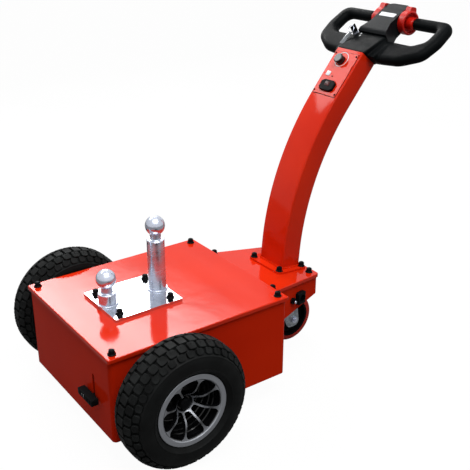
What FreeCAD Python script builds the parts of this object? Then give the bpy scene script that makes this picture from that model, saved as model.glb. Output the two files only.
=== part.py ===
"""Electric tow tug: a pedestrian tractor with two tow balls, a curved tiller and a rear caster.

Every driving dimension is a cell of the spreadsheet "Sizes".  Sketches, features and placements
are bound to those cells, so a change of one cell carries through to the pieces that fit it.

Frame of the part: +X is the end with the tow balls, +Y is the side with the charging socket,
+Z is up.  The origin lies on the ground, under the middle of the overall length and width.
"""
import FreeCAD, Part
import math
import os

import Sketcher

# --------------------------------------------------------------------------------------------
# Driving dimensions, in millimetres and degrees
# --------------------------------------------------------------------------------------------

DRIVING_SIZES = (
    # alias, value, meaning
    ("axle_ahead", 390.99, "drive axle ahead of the part's origin"),
    # sheet metal body
    ("cover_length", 513.5, "main cover, along the tug"),
    ("cover_width", 445.5, "main cover, across the tug"),
    ("deck_height", 287.5, "top of the main cover above the ground"),
    ("axle_setback", 146.5, "drive axle behind the front edge of the cover"),
    ("cover_sheet", 3.0, "sheet thickness of both covers"),
    ("lip_depth", 10.0, "depth of the folded lip, sheet included"),
    ("lip_gap", 1.2, "gap between a lip and the wall behind it"),
    ("ground_clearance", 61.0, "underside of the box above the ground"),
    ("box_wall", 4.0, "wall and floor of the box"),
    ("box_corner", 11.0, "outside radius of the upright box corners"),
    ("cover_corner", 4.5, "outside radius of the main cover's corners"),
    # tongue that carries tiller and caster
    ("tongue_length", 206.0, "tongue cover behind the box, measured level"),
    ("tongue_front_width", 303.0, "tongue cover at the box"),
    ("tongue_rear_width", 224.0, "tongue cover at its rear edge"),
    ("tongue_step", 19.5, "fall from the main cover to the tongue cover at the box"),
    ("tongue_slope", 4.8, "fall of the tongue cover towards the rear, degrees"),
    ("belly_slope", 12.0, "rise of the tongue's underside towards the rear, degrees"),
    ("tongue_wall", 4.0, "wall of the tongue"),
    ("weld_gap", 0.3, "root gap between plates that are welded at an angle"),
    ("socket_back", 127.0, "charging socket behind the box, along the tongue's wall"),
    ("breaker_back", 98.0, "circuit breaker behind the box, along the tongue's wall"),
    ("socket_height", 206.0, "middle of socket and breaker above the ground"),
    ("socket_width", 31.0, "charging socket along the wall"),
    ("socket_tall", 36.0, "charging socket, upright"),
    ("socket_depth", 12.0, "how far the charging socket stands out"),
    ("breaker_radius", 9.0, "circuit breaker"),
    # coupling plate and tow balls
    ("plate_length", 189.0, "coupling plate, along the tug"),
    ("plate_width", 169.0, "coupling plate, across the tug"),
    ("plate_thickness", 8.0, "coupling plate"),
    ("plate_setback", 94.0, "coupling plate behind the front edge of the cover"),
    ("plate_bolts_along", 143.0, "hole spacing along the tug"),
    ("plate_bolts_across", 126.0, "hole spacing across the tug"),
    ("plate_hole", 5.25, "radius of the coupling plate's holes"),
    ("ball_radius", 25.0, "tow balls"),
    ("ball_neck", 14.0, "radius of the neck under a ball"),
    ("post_radius", 22.5, "tow ball posts"),
    ("post_collar", 26.5, "radius of the collar at the foot of a post"),
    ("collar_height", 4.0, "collar at the foot of a post"),
    ("neck_drop", 36.0, "ball centre above the shoulder of its post"),
    ("short_ball_lift", 76.0, "centre of the front ball above the cover"),
    ("tall_ball_lift", 182.5, "centre of the rear ball above the cover"),
    ("ball_spacing", 143.0, "front ball to rear ball"),
    # wheels
    ("wheel_track", 579.0, "between the centre planes of the drive wheels"),
    ("tyre_radius", 161.5, "drive tyre, and so the height of the axle"),
    ("tyre_width", 109.0, "drive tyre at its widest"),
    ("rim_radius", 91.5, "outside of the rim flange"),
    ("rim_face", 47.0, "rim flange face outboard of the wheel's centre plane"),
    ("rim_flange", 5.0, "thickness of the rim flanges"),
    ("rim_lip", 12.0, "width of the machined ring on the rim flange"),
    ("rim_gauge", 4.0, "thickness of the rim barrel"),
    ("rim_bowl", 25.0, "radius of the hub seat at the bottom of the bowl"),
    ("rim_seat", 4.0, "face of the hub seat outboard of the wheel's centre plane"),
    ("rim_disc", 7.0, "thickness of the spoked disc"),
    ("spoke_count", 8.0, "spokes of the rim"),
    ("spoke_width", 4.6, "width of a spoke"),
    ("spoke_start", 17.0, "angle of the first spoke above level, degrees"),
    ("hub_spigot", 9.0, "radius of the hub's spigot and of the rim's bore"),
    ("hub_flange", 22.0, "radius of the hub flange"),
    ("shaft_radius", 12.5, "drive shaft"),
    ("shaft_clearance", 0.3, "radial clearance of every turning shaft"),
    ("shaft_reach", 120.0, "inner end of a drive shaft from the middle of the tug"),
    ("axle_tube_radius", 24.0, "outside of the axle tubes"),
    ("axle_tube_stub", 14.0, "axle tube outside the box wall"),
    ("hub_nut", 14.5, "radius of the hub nut"),
    ("hub_nut_height", 13.0, "hub nut"),
    # heavy masses inside the box
    ("drive_length", 170.0, "drive unit, along the tug"),
    ("drive_width", 220.0, "drive unit, across the tug"),
    ("drive_headroom", 48.5, "drive unit below the rim of the box"),
    ("battery_headroom", 39.5, "battery pack below the rim of the box"),
    ("battery_side_gap", 34.5, "battery pack to a side wall"),
    ("wiring_gap", 51.8, "battery pack behind the drive unit"),
    ("battery_gap", 22.0, "battery pack ahead of the box's rear wall"),
    # brake pedal
    ("pedal_offset", 130.0, "pedal slot beside the middle of the tug"),
    ("slot_width", 10.0, "pedal slot"),
    ("slot_bottom", 136.0, "lower end of the pedal slot above the ground"),
    ("slot_top", 204.0, "upper end of the pedal slot above the ground"),
    ("pedal_arm", 8.0, "thickness of the pedal arm"),
    ("pedal_arm_height", 12.0, "depth of the pedal arm"),
    ("pedal_width", 73.0, "pedal pad across the tug"),
    ("pedal_depth", 19.0, "pedal pad along the tug"),
    ("pedal_height", 17.0, "pedal pad"),
    ("pedal_top", 152.0, "top of the pedal pad above the ground"),
    ("pedal_shift", 8.5, "pad centre beside its slot, towards the middle"),
    ("pedal_stand_off", 4.0, "gap between the pad and the box"),
    ("pedal_pivot_reach", 70.0, "pedal arm inside the box"),
    # caster
    ("caster_radius", 72.5, "caster wheel"),
    ("caster_width", 45.0, "caster wheel"),
    ("caster_tread", 15.0, "depth of the caster's tread"),
    ("caster_back", 145.2, "swivel axis behind the box"),
    ("caster_trail", 42.0, "caster axle behind the swivel axis"),
    ("caster_plate", 5.0, "thickness of the caster's top plate"),
    ("mount_edge", 4.0, "front edge of the wedge above the caster's top plate"),
    ("caster_plate_side", 92.0, "side of the caster's top plate"),
    ("fork_gauge", 4.0, "thickness of the fork's legs"),
    ("fork_side_gap", 5.5, "gap between the wheel and a fork leg"),
    ("fork_crown", 9.6, "depth of the fork's crown"),
    ("crown_radius", 34.0, "radius of the fork's crown"),
    ("crown_gap", 5.0, "fork crown above the wheel"),
    ("face_gap", 0.4, "running gap between faces that turn on each other"),
    ("kingpin_radius", 7.0, "swivel pin of the caster"),
    ("kingpin_head", 5.0, "head of the swivel pin"),
    ("caster_bolt", 6.0, "radius of the caster's axle bolt"),
    ("caster_hub", 16.0, "radius of the caster wheel's hub"),
    # tiller column
    ("tube_width", 100.0, "tiller column across the tug"),
    ("tube_depth", 62.0, "tiller column along the tug"),
    ("tube_wall", 4.0, "wall of the tiller column"),
    ("tube_round", 5.0, "rounding of the column's edges"),
    ("tiller_back", 153.0, "middle of the column's foot behind the box"),
    ("tiller_foot_run", 40.0, "straight foot of the column"),
    ("tiller_bend", 747.0, "radius of the column's centre line"),
    ("tiller_lean", 38.9, "lean of the column's top, degrees from upright"),
    ("tiller_top_run", 136.5, "straight top of the column"),
    ("base_length", 103.0, "tiller base plate along the tongue"),
    ("base_width", 139.5, "tiller base plate across the tongue"),
    ("base_thickness", 5.0, "tiller base plate"),
    ("base_back", 146.0, "middle of the base plate behind the box"),
    ("base_corner", 12.0, "corner radius of the base plate"),
    ("base_bolts_along", 80.0, "hole spacing along the base plate"),
    ("base_bolts_across", 114.0, "hole spacing across the base plate"),
    ("base_hole", 4.25, "radius of the base plate's holes"),
    # control panel
    ("panel_length", 131.0, "control panel along the column"),
    ("panel_edge", 6.0, "edge of the control panel inside the column's edge"),
    ("panel_gauge", 2.0, "control panel"),
    ("panel_margin", 11.0, "column end beyond the panel"),
    ("knob_radius", 13.5, "speed knob"),
    ("knob_height", 17.0, "speed knob"),
    ("knob_drop", 37.0, "speed knob below the end of the column"),
    ("knob_shift", 6.0, "speed knob beside the middle of the panel"),
    ("gauge_length", 52.0, "charge gauge across the panel"),
    ("gauge_height", 32.0, "charge gauge along the panel"),
    ("gauge_depth", 7.0, "charge gauge above the panel"),
    ("gauge_drop", 116.0, "charge gauge below the end of the column"),
    # handle
    ("head_pitch", 33.0, "plane of the handle above level, degrees"),
    ("head_reach", 72.3, "middle of the handle beyond the column's end"),
    ("head_drop", 9.5, "plane of the handle behind the column's axis"),
    ("grip_radius", 16.0, "half thickness of the handle loop"),
    ("grip_line", 93.0, "axis of the grips above the middle of the handle"),
    ("grip_start", 78.0, "inner end of a grip from the middle plane"),
    ("handle_half", 204.0, "outside of the handle at the grips"),
    ("handle_flare", 211.0, "outside of the handle at its arms"),
    ("opening_half", 170.0, "outer edge of the hand openings"),
    ("opening_foot", 5.0, "lower edge of the hand openings below the middle of the handle"),
    ("neck_margin", 3.0, "neck of the handle outside the column's side"),
    ("neck_shoulder", 22.0, "shoulder on each side of the neck"),
    ("spindle_radius", 9.0, "spindle of the thumb levers"),
    ("housing_half", 37.5, "half width of the control housing"),
    ("housing_top", 132.0, "end of the control housing"),
    ("housing_under", 18.0, "underside of the control housing below the grips' plane"),
    ("housing_over", 34.0, "foot of the control housing above the grips' plane"),
    ("housing_fall", 6.0, "fall of the housing's top from its foot to its end"),
    ("lever_radius", 33.0, "thumb levers"),
    ("lever_width", 22.0, "cup of a thumb lever, along the grip"),
    ("lever_rim", 6.0, "rim of a thumb lever's cup"),
    ("lever_collar", 16.5, "radius of the collar between a lever's cup and the grip"),
    ("lever_gap", 0.5, "gap between a thumb lever and the housing"),
    ("key_offset", 62.0, "key switch beside the middle plane"),
    ("key_barrel", 9.0, "radius of the key switch"),
    ("key_barrel_height", 6.0, "key switch above the bow"),
    ("key_head", 24.0, "key above its switch"),
)


class Size:
    """A dimension that knows its value and the spreadsheet formula that gives it."""

    def __init__(self, value, formula):
        self.value = float(value)
        self.formula = formula

    @staticmethod
    def of(number):
        """Return number as a Size, whether it is one already or a plain number."""
        if isinstance(number, Size):
            return number
        return Size(number, repr(float(number)))

    def _join(self, other, sign, value):
        return Size(value, f"({self.formula} {sign} {Size.of(other).formula})")

    def __add__(self, other):
        return self._join(other, "+", self.value + Size.of(other).value)

    def __radd__(self, other):
        return Size.of(other) + self

    def __sub__(self, other):
        return self._join(other, "-", self.value - Size.of(other).value)

    def __rsub__(self, other):
        return Size.of(other) - self

    def __mul__(self, other):
        return self._join(other, "*", self.value * Size.of(other).value)

    def __rmul__(self, other):
        return Size.of(other) * self

    def __truediv__(self, other):
        return self._join(other, "/", self.value / Size.of(other).value)

    def __rtruediv__(self, other):
        return Size.of(other) / self

    def __neg__(self):
        return Size.of(-1.0) * self


def sine(angle):
    """Sine of a Size in degrees."""
    return Size(math.sin(math.radians(angle.value)), f"sin({angle.formula})")


def cosine(angle):
    """Cosine of a Size in degrees."""
    return Size(math.cos(math.radians(angle.value)), f"cos({angle.formula})")


def tangent(angle):
    """Tangent of a Size in degrees."""
    return Size(math.tan(math.radians(angle.value)), f"tan({angle.formula})")


def arctangent(ratio):
    """Angle in degrees whose tangent is a Size."""
    return Size(math.degrees(math.atan(ratio.value)), f"atan({ratio.formula})")


def smaller(first, second):
    """The smaller of two Sizes."""
    return Size(min(first.value, second.value), f"min({first.formula}; {second.formula})")


def root(area):
    """Square root of a Size."""
    return Size(math.sqrt(area.value), f"sqrt({area.formula})")


class Sheet:
    """The spreadsheet of driving dimensions, read as attributes that are Size objects."""

    def __init__(self, document):
        table = document.addObject("Spreadsheet::Sheet", "Sizes")
        for row, (alias, value, meaning) in enumerate(DRIVING_SIZES, start=1):
            table.set(f"A{row}", meaning)
            table.set(f"B{row}", str(value))
            table.setAlias(f"B{row}", alias)
            setattr(self, alias, Size(value, f"Sizes.{alias}"))
        document.recompute()


DOC = FreeCAD.newDocument("TowTug")
D = Sheet(DOC)
SUB_PARTS = []
CUTS = []


# --------------------------------------------------------------------------------------------
# Places shared by several pieces, all measured from the drive axle (x) and the ground (z)
# --------------------------------------------------------------------------------------------

LIP_INSET = D.cover_sheet + D.lip_gap
COVER_CENTRE = D.axle_setback - D.cover_length / 2
BOX_LENGTH = D.cover_length - 2 * LIP_INSET
BOX_WIDTH = D.cover_width - 2 * LIP_INSET
BOX_FRONT = D.axle_setback - LIP_INSET
BOX_REAR = BOX_FRONT - BOX_LENGTH
BOX_TOP = D.deck_height - D.cover_sheet
BOX_FLOOR = D.ground_clearance + D.box_wall
PLATE_CENTRE = D.axle_setback - D.plate_setback - D.plate_length / 2
PLATE_TOP = D.deck_height + D.plate_thickness
TONGUE_TAPER = (D.tongue_front_width - D.tongue_rear_width) / 2 / D.tongue_length
TONGUE_TOP = D.deck_height - D.tongue_step
DRIVE_TOP = BOX_TOP - D.drive_headroom
BATTERY_REAR = BOX_REAR + D.box_wall + D.battery_gap
BATTERY_LENGTH = -D.drive_length / 2 - D.wiring_gap - BATTERY_REAR
BATTERY_WIDTH = BOX_WIDTH - 2 * D.box_wall - 2 * D.battery_side_gap
TYRE_SHOULDER = smaller(0.4 * D.tyre_width, 0.62 * (D.tyre_radius - D.rim_radius))
SWIVEL_X = BOX_REAR - D.caster_back
CASTER_PLATE_BASE = 2 * D.caster_radius + D.crown_gap + D.fork_crown + D.face_gap
FORK_HALF = D.caster_width / 2 + D.fork_side_gap
BELLY_RISE = tangent(D.belly_slope)
BELLY_HEIGHT = (CASTER_PLATE_BASE + D.caster_plate + D.mount_edge
                - BELLY_RISE * (D.caster_back - D.caster_plate_side / 2))
TAPER_ANGLE = arctangent(TONGUE_TAPER)
PANEL_WIDTH = D.tube_width - 2 * D.panel_edge
NECK_WIDTH = D.tube_width + 2 * D.neck_margin

# Foot of the column, on top of its base plate, then the end of its bend and its upper end.
TILLER_FOOT_X = BOX_REAR - D.tiller_back * cosine(D.tongue_slope) - D.base_thickness * sine(D.tongue_slope)
TILLER_FOOT_Z = (TONGUE_TOP - D.tiller_back * sine(D.tongue_slope)
                 + D.base_thickness * cosine(D.tongue_slope))
BEND_END_X = (TILLER_FOOT_X - D.tiller_foot_run * sine(D.tongue_slope)
              - D.tiller_bend * (cosine(D.tongue_slope) - cosine(D.tiller_lean)))
BEND_END_Z = (TILLER_FOOT_Z + D.tiller_foot_run * cosine(D.tongue_slope)
              + D.tiller_bend * (sine(D.tiller_lean) - sine(D.tongue_slope)))
COLUMN_END_X = BEND_END_X - D.tiller_top_run * sine(D.tiller_lean)
COLUMN_END_Z = BEND_END_Z + D.tiller_top_run * cosine(D.tiller_lean)
# The handle's own frame: its x runs down towards the column, its z stands out of the loop.
HEAD_X = COLUMN_END_X - D.head_reach * cosine(D.head_pitch) - D.head_drop * sine(D.head_pitch)
HEAD_Z = COLUMN_END_Z + D.head_reach * sine(D.head_pitch) - D.head_drop * cosine(D.head_pitch)
NECK_ANGLE = 90 - D.tiller_lean - D.head_pitch

ON_TONGUE = {"x": BOX_REAR, "z": TONGUE_TOP, "axis": (0, -1, 0), "angle": D.tongue_slope}
ON_COLUMN_TOP = {"x": BEND_END_X, "z": BEND_END_Z, "axis": (0, -1, 0), "angle": D.tiller_lean}
AT_HANDLE = {"x": HEAD_X, "z": HEAD_Z, "axis": (0, 1, 0), "angle": D.head_pitch}
AT_GRIPS = {"x": HEAD_X - D.grip_line * cosine(D.head_pitch),
            "z": HEAD_Z + D.grip_line * sine(D.head_pitch),
            "axis": (0, 1, 0), "angle": D.head_pitch}


# --------------------------------------------------------------------------------------------
# Helpers: bodies, sketches and features
# --------------------------------------------------------------------------------------------

def bind(target, path, size):
    """Bind one property of an object to the formula of a size."""
    target.setExpression(path, Size.of(size).formula)


def place(target, x=0.0, y=0.0, z=0.0, axis=None, angle=None):
    """Bind the placement of a sub-part; x is measured from the drive axle."""
    if axis is not None:
        turn = FreeCAD.Rotation(FreeCAD.Vector(*axis), Size.of(angle).value)
        target.Placement = FreeCAD.Placement(FreeCAD.Vector(), turn)
        bind(target, "Placement.Rotation.Angle", angle)
    bind(target, "Placement.Base.x", D.axle_ahead + x)
    bind(target, "Placement.Base.y", y)
    bind(target, "Placement.Base.z", z)


def add_body(label, **where):
    """Start a sub-part: a body whose label names its file."""
    body = DOC.addObject("PartDesign::Body", label)
    body.Label = label
    place(body, **where)
    SUB_PARTS.append(body)
    return body


def origin_feature(body, role):
    """Find a plane or axis of the body's own origin by its role."""
    return next(item for item in body.Origin.OriginFeatures if item.Role == role)


def add_sketch(body, plane, lift=0.0):
    """Attach a new sketch to an origin plane, lifted along that plane's normal."""
    sketch = body.newObject("Sketcher::SketchObject", "Sketch")
    sketch.AttachmentSupport = [(origin_feature(body, plane), "")]
    sketch.MapMode = "FlatFace"
    bind(sketch, "AttachmentOffset.Base.z", lift)
    return sketch


class Rules:
    """Constraints of one sketch, gathered first and then added and bound in one go."""

    def __init__(self, sketch):
        self.sketch = sketch
        self.plain = []
        self.sized = []

    def add(self, kind, *geometry):
        """Add a constraint without a dimension."""
        self.plain.append(Sketcher.Constraint(kind, *geometry))

    def measure(self, size, kind, *geometry):
        """Add a dimension bound to a size."""
        self.sized.append((kind, geometry, Size.of(size)))

    def pin(self, geometry, end, u, v):
        """Hold a point at (u, v) from the sketch's origin."""
        self.measure(u, "DistanceX", -1, 1, geometry, end)
        self.measure(v, "DistanceY", -1, 1, geometry, end)

    def apply(self):
        """Hand the constraints to the sketch."""
        first = self.sketch.ConstraintCount + len(self.plain)
        dimensions = [Sketcher.Constraint(kind, *geometry, size.value)
                      for kind, geometry, size in self.sized]
        self.sketch.addConstraint(self.plain + dimensions)
        for index, (kind, geometry, size) in enumerate(self.sized, start=first):
            self.sketch.setExpression(f"Constraints[{index}]", size.formula)


def flat(u, v):
    """A vector in a sketch's plane, from two sizes or numbers."""
    return FreeCAD.Vector(Size.of(u).value, Size.of(v).value, 0)


def arc_between(start, finish, radius):
    """Arc of under half a turn; a positive radius turns left on the way to the finish."""
    if radius < 0:
        start, finish = finish, start
    radius = abs(radius)
    chord = finish - start
    left = FreeCAD.Vector(-chord.y, chord.x, 0).normalize()
    sagitta = math.sqrt(max(radius * radius - chord.Length ** 2 / 4, 0.0))
    centre = (start + finish) * 0.5 + left * sagitta
    angles = [math.atan2(point.y - centre.y, point.x - centre.x) for point in (start, finish)]
    full = Part.Circle(centre, FreeCAD.Vector(0, 0, 1), radius)
    return Part.ArcOfCircle(full, *angles)


def outline(sketch, *nodes):
    """Close a loop through nodes.

    A node is (u, v) for a sharp corner, (u, v, radius) for a rounded one, or
    ("arc", u, v, radius) for a corner that the loop reaches along an arc.
    """
    count = len(nodes)
    places = [node[1:3] if node[0] == "arc" else node[:2] for node in nodes]
    points = [flat(*spot) for spot in places]
    rounds = [node[2] if len(node) == 3 else None for node in nodes]
    starts = list(points)
    ends = list(points)
    for i, radius in enumerate(rounds):
        if radius is None:
            continue
        before = (points[i - 1] - points[i]).normalize()
        after = (points[(i + 1) % count] - points[i]).normalize()
        setback = Size.of(radius).value / math.tan(before.getAngle(after) / 2)
        ends[i] = points[i] + before * setback
        starts[i] = points[i] + after * setback
    sides = []
    for i, node in enumerate(nodes):
        if node[0] == "arc":
            curve = arc_between(starts[i - 1], ends[i], Size.of(node[3]).value)
        else:
            curve = Part.LineSegment(starts[i - 1], ends[i])
        sides.append(sketch.addGeometry(curve, False))
    rules = Rules(sketch)
    for i, node in enumerate(nodes):
        side, following = sides[i], sides[(i + 1) % count]
        side_end = arc_end(sketch, side, ends[i])
        following_start = arc_end(sketch, following, starts[i])
        if rounds[i] is None:
            rules.add("Coincident", side, side_end, following, following_start)
            rules.pin(side, side_end, *places[i])
        else:
            round_corner(sketch, rules, side, following, places[i], (ends[i], starts[i]), rounds[i])
        if node[0] == "arc":
            radius = node[3] if Size.of(node[3]).value > 0 else -node[3]
            rules.measure(radius, "Radius", side)
    rules.apply()


def arc_end(sketch, index, spot):
    """Tell which end of a sketch edge lies at a spot: 1 for its start, 2 for its end."""
    curve = sketch.Geometry[index]
    first = curve.StartPoint.distanceToPoint(spot)
    return 1 if first < curve.EndPoint.distanceToPoint(spot) else 2


def round_corner(sketch, rules, side, following, corner, tangents, radius):
    """Join two straight sides by a tangent arc round a construction corner point."""
    point = sketch.addGeometry(Part.Point(flat(*corner)), True)
    rules.pin(point, 1, *corner)
    for line in (side, following):
        rules.add("PointOnObject", point, 1, line)
    first, last = tangents
    towards = (flat(*corner) - first).normalize()
    across = FreeCAD.Vector(-towards.y, towards.x, 0)
    left_turn = across.dot(last - first) > 0
    signed = Size.of(radius).value * (1 if left_turn else -1)
    arc = sketch.addGeometry(arc_between(first, last, signed), False)
    for line, spot in ((side, first), (following, last)):
        rules.add("Tangent", line, arc_end(sketch, line, spot), arc, arc_end(sketch, arc, spot))
    rules.measure(radius, "Radius", arc)


def rectangle(sketch, low_u, high_u, low_v, high_v, radius=None):
    """Draw a rectangle, with rounded corners if a radius is given."""
    corners = ((low_u, low_v), (high_u, low_v), (high_u, high_v), (low_u, high_v))
    if radius is not None:
        corners = tuple(corner + (radius,) for corner in corners)
    outline(sketch, *corners)


def circle(sketch, u, v, radius):
    """Draw a circle held at (u, v)."""
    edge = Part.Circle(flat(u, v), FreeCAD.Vector(0, 0, 1), Size.of(radius).value)
    index = sketch.addGeometry(edge, False)
    rules = Rules(sketch)
    rules.pin(index, 3, u, v)
    rules.measure(radius, "Radius", index)
    rules.apply()


def corner_circles(sketch, middle_u, spacing_u, spacing_v, radius):
    """Draw four circles on the corners of a rectangle that is centred on the u axis."""
    for side_u in (-1, 1):
        for side_v in (-1, 1):
            circle(sketch, middle_u + side_u * spacing_u / 2, side_v * spacing_v / 2, radius)


def pad(body, sketch, length, both_ways=False, backwards=False):
    """Raise a sketch into a solid."""
    feature = body.newObject("PartDesign::Pad", "Pad")
    feature.Profile = sketch
    feature.SideType = "Symmetric" if both_ways else "One side"
    feature.Reversed = backwards
    bind(feature, "Length", length)
    return feature


def pocket(body, sketch, length=None, both_ways=False, backwards=False):
    """Cut a sketch out of a solid, right through where no length is given."""
    feature = body.newObject("PartDesign::Pocket", "Pocket")
    feature.Profile = sketch
    feature.SideType = "Symmetric" if both_ways else "One side"
    feature.Reversed = backwards
    if length is None:
        feature.Type = "ThroughAll"
    else:
        bind(feature, "Length", length)
    CUTS.append(feature)
    return feature


def revolve(body, sketch, axis="V_Axis"):
    """Turn a sketch right round one of its own axes."""
    feature = body.newObject("PartDesign::Revolution", "Revolution")
    feature.Profile = sketch
    feature.ReferenceAxis = (sketch, [axis])
    feature.Angle = 360
    return feature


def repeat_round(body, feature, axis, count):
    """Repeat a feature evenly round one of the body's own axes."""
    pattern = body.newObject("PartDesign::PolarPattern", "PolarPattern")
    pattern.Originals = [feature]
    pattern.Axis = (origin_feature(body, axis), [""])
    pattern.Angle = 360
    bind(pattern, "Occurrences", count)
    body.Tip = pattern
    return pattern


def round_edges(body, radius, test):
    """Fillet the edges of the body's last feature that pass a test."""
    DOC.recompute()
    base = body.Tip
    names = [f"Edge{i}" for i, edge in enumerate(base.Shape.Edges, start=1) if test(edge)]
    if not names:
        raise RuntimeError(f"{body.Label}: no edge to round")
    feature = body.newObject("PartDesign::Fillet", "Fillet")
    feature.Base = (base, names)
    bind(feature, "Radius", radius)
    return feature


def runs_along(edge, axis):
    """Tell whether an edge is straight and parallel to an axis given as 0, 1 or 2."""
    box = edge.BoundBox
    spans = [box.XLength, box.YLength, box.ZLength]
    across = [span for i, span in enumerate(spans) if i != axis]
    return spans[axis] > 0.01 and max(across) < 0.01


def lies_at(edge, axis, place_on_axis):
    """Tell whether an edge lies in a plane across an axis."""
    box = edge.BoundBox
    low, high = ((box.XMin, box.XMax), (box.YMin, box.YMax), (box.ZMin, box.ZMax))[axis]
    target = Size.of(place_on_axis).value
    return abs(low - target) < 0.01 and abs(high - target) < 0.01


# --------------------------------------------------------------------------------------------
# Sheet metal body
# --------------------------------------------------------------------------------------------

def make_chassis_box():
    """Open-topped welded box with axle holes in its sides and a pedal slot in its front."""
    body = add_body("chassis_box", x=COVER_CENTRE, z=D.ground_clearance)
    shell = add_sketch(body, "XY_Plane")
    rectangle(shell, -BOX_LENGTH / 2, BOX_LENGTH / 2, -BOX_WIDTH / 2, BOX_WIDTH / 2, D.box_corner)
    pad(body, shell, BOX_TOP - D.ground_clearance)
    room = add_sketch(body, "XY_Plane", D.box_wall)
    half_length = BOX_LENGTH / 2 - D.box_wall
    half_width = BOX_WIDTH / 2 - D.box_wall
    rectangle(room, -half_length, half_length, -half_width, half_width, D.box_corner - D.box_wall)
    pocket(body, room, backwards=True)
    axle = add_sketch(body, "XZ_Plane")
    circle(axle, -COVER_CENTRE, D.tyre_radius - D.ground_clearance, D.axle_tube_radius)
    pocket(body, axle, both_ways=True)
    slot = add_sketch(body, "YZ_Plane")
    low = D.slot_bottom - D.ground_clearance
    high = D.slot_top - D.ground_clearance
    rectangle(slot, D.pedal_offset - D.slot_width / 2, D.pedal_offset + D.slot_width / 2, low, high)
    pocket(body, slot, backwards=True)
    round_edges(body, D.slot_width / 2.2, lambda edge: runs_along(edge, 0) and near_slot(edge, low, high))


def near_slot(edge, low, high):
    """Tell whether an edge of the box runs through the front wall at a corner of the slot."""
    box = edge.BoundBox
    beside = abs(abs(box.YMin) - D.pedal_offset.value) < D.slot_width.value
    ends = min(abs(box.ZMin - low.value), abs(box.ZMin - high.value))
    return beside and ends < 0.01


def make_main_cover():
    """Folded cover that laps over the box, with holes for the coupling plate."""
    body = add_body("main_cover", x=COVER_CENTRE, z=D.deck_height - D.lip_depth)
    corner = D.cover_corner
    blank = add_sketch(body, "XY_Plane")
    half_length, half_width = D.cover_length / 2, D.cover_width / 2
    rectangle(blank, -half_length, half_length, -half_width, half_width, corner)
    pad(body, blank, D.lip_depth)
    round_edges(body, D.cover_sheet * 0.9, lambda edge: lies_at(edge, 2, D.lip_depth))
    inside = add_sketch(body, "XY_Plane")
    inner_length, inner_width = half_length - D.cover_sheet, half_width - D.cover_sheet
    rectangle(inside, -inner_length, inner_length, -inner_width, inner_width,
              corner / 3)
    pocket(body, inside, D.lip_depth - D.cover_sheet, backwards=True)
    holes = add_sketch(body, "XY_Plane")
    corner_circles(holes, PLATE_CENTRE - COVER_CENTRE, D.plate_bolts_along,
                   D.plate_bolts_across, D.plate_hole)
    pocket(body, holes, backwards=True)


def make_heavy_masses():
    """Drive unit and battery pack: the closed masses inside the box, as plain blocks."""
    drive = add_body("drive_unit", z=BOX_FLOOR)
    base = add_sketch(drive, "XY_Plane")
    rectangle(base, -D.drive_length / 2, D.drive_length / 2, -D.drive_width / 2, D.drive_width / 2)
    pad(drive, base, DRIVE_TOP - BOX_FLOOR)
    battery = add_body("battery_pack", x=BATTERY_REAR, z=BOX_FLOOR)
    tray = add_sketch(battery, "XY_Plane")
    rectangle(tray, 0.0, BATTERY_LENGTH, -BATTERY_WIDTH / 2, BATTERY_WIDTH / 2)
    pad(battery, tray, BOX_TOP - D.battery_headroom - BOX_FLOOR)


def make_axle_tubes():
    """Axle tubes from the drive unit through the box walls; a drive shaft turns in each."""
    for side, name in ((1, "left"), (-1, "right")):
        tube = add_body(f"axle_tube_{name}", z=D.tyre_radius)
        ring = add_sketch(tube, "XZ_Plane", -side * D.drive_width / 2)
        circle(ring, 0.0, 0.0, D.axle_tube_radius)
        circle(ring, 0.0, 0.0, D.shaft_radius + D.shaft_clearance)
        pad(tube, ring, BOX_WIDTH / 2 + D.axle_tube_stub - D.drive_width / 2, backwards=side > 0)


# --------------------------------------------------------------------------------------------
# Brake pedal
# --------------------------------------------------------------------------------------------

def make_pedal():
    """Pad on an arm that comes through the slot from a bracket inside the front wall."""
    arm = add_body("pedal_arm", x=BOX_FRONT, y=D.pedal_offset, z=D.pedal_top - D.pedal_height / 2)
    side = add_sketch(arm, "XZ_Plane")
    rectangle(side, -D.pedal_pivot_reach, D.pedal_stand_off,
              -D.pedal_arm_height / 2, D.pedal_arm_height / 2)
    pad(arm, side, D.pedal_arm, both_ways=True)

    foot = add_body("brake_pedal", x=BOX_FRONT + D.pedal_stand_off,
                    y=D.pedal_offset - D.pedal_shift, z=D.pedal_top - D.pedal_height)
    face = add_sketch(foot, "XY_Plane")
    rectangle(face, 0.0, D.pedal_depth, -D.pedal_width / 2, D.pedal_width / 2)
    pad(foot, face, D.pedal_height)
    round_edges(foot, D.pedal_height / 4, lambda edge: not lies_at(edge, 0, 0.0))

    bracket = add_body("pedal_bracket", x=BOX_FRONT - D.box_wall,
                       y=D.pedal_offset + D.pedal_arm / 2, z=D.pedal_top - D.pedal_height / 2)
    cheek = add_sketch(bracket, "XZ_Plane")
    drop = D.pedal_arm_height * 2
    outline(cheek, (0.0, -drop), (0.0, drop), (-D.pedal_pivot_reach / 2, drop),
            (-D.pedal_pivot_reach, D.pedal_arm_height), (-D.pedal_pivot_reach, -D.pedal_arm_height),
            (-D.pedal_pivot_reach / 2, -drop))
    pad(bracket, cheek, D.box_wall, backwards=True)


# --------------------------------------------------------------------------------------------
# Coupling plate with two tow balls
# --------------------------------------------------------------------------------------------

def make_coupling_plate():
    """Ground plate that is bolted to the cover and carries the tow balls."""
    body = add_body("coupling_plate", x=PLATE_CENTRE, z=D.deck_height)
    blank = add_sketch(body, "XY_Plane")
    rectangle(blank, -D.plate_length / 2, D.plate_length / 2, -D.plate_width / 2, D.plate_width / 2,
              2.0)
    corner_circles(blank, Size.of(0.0), D.plate_bolts_along, D.plate_bolts_across, D.plate_hole)
    pad(body, blank, D.plate_thickness)


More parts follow.
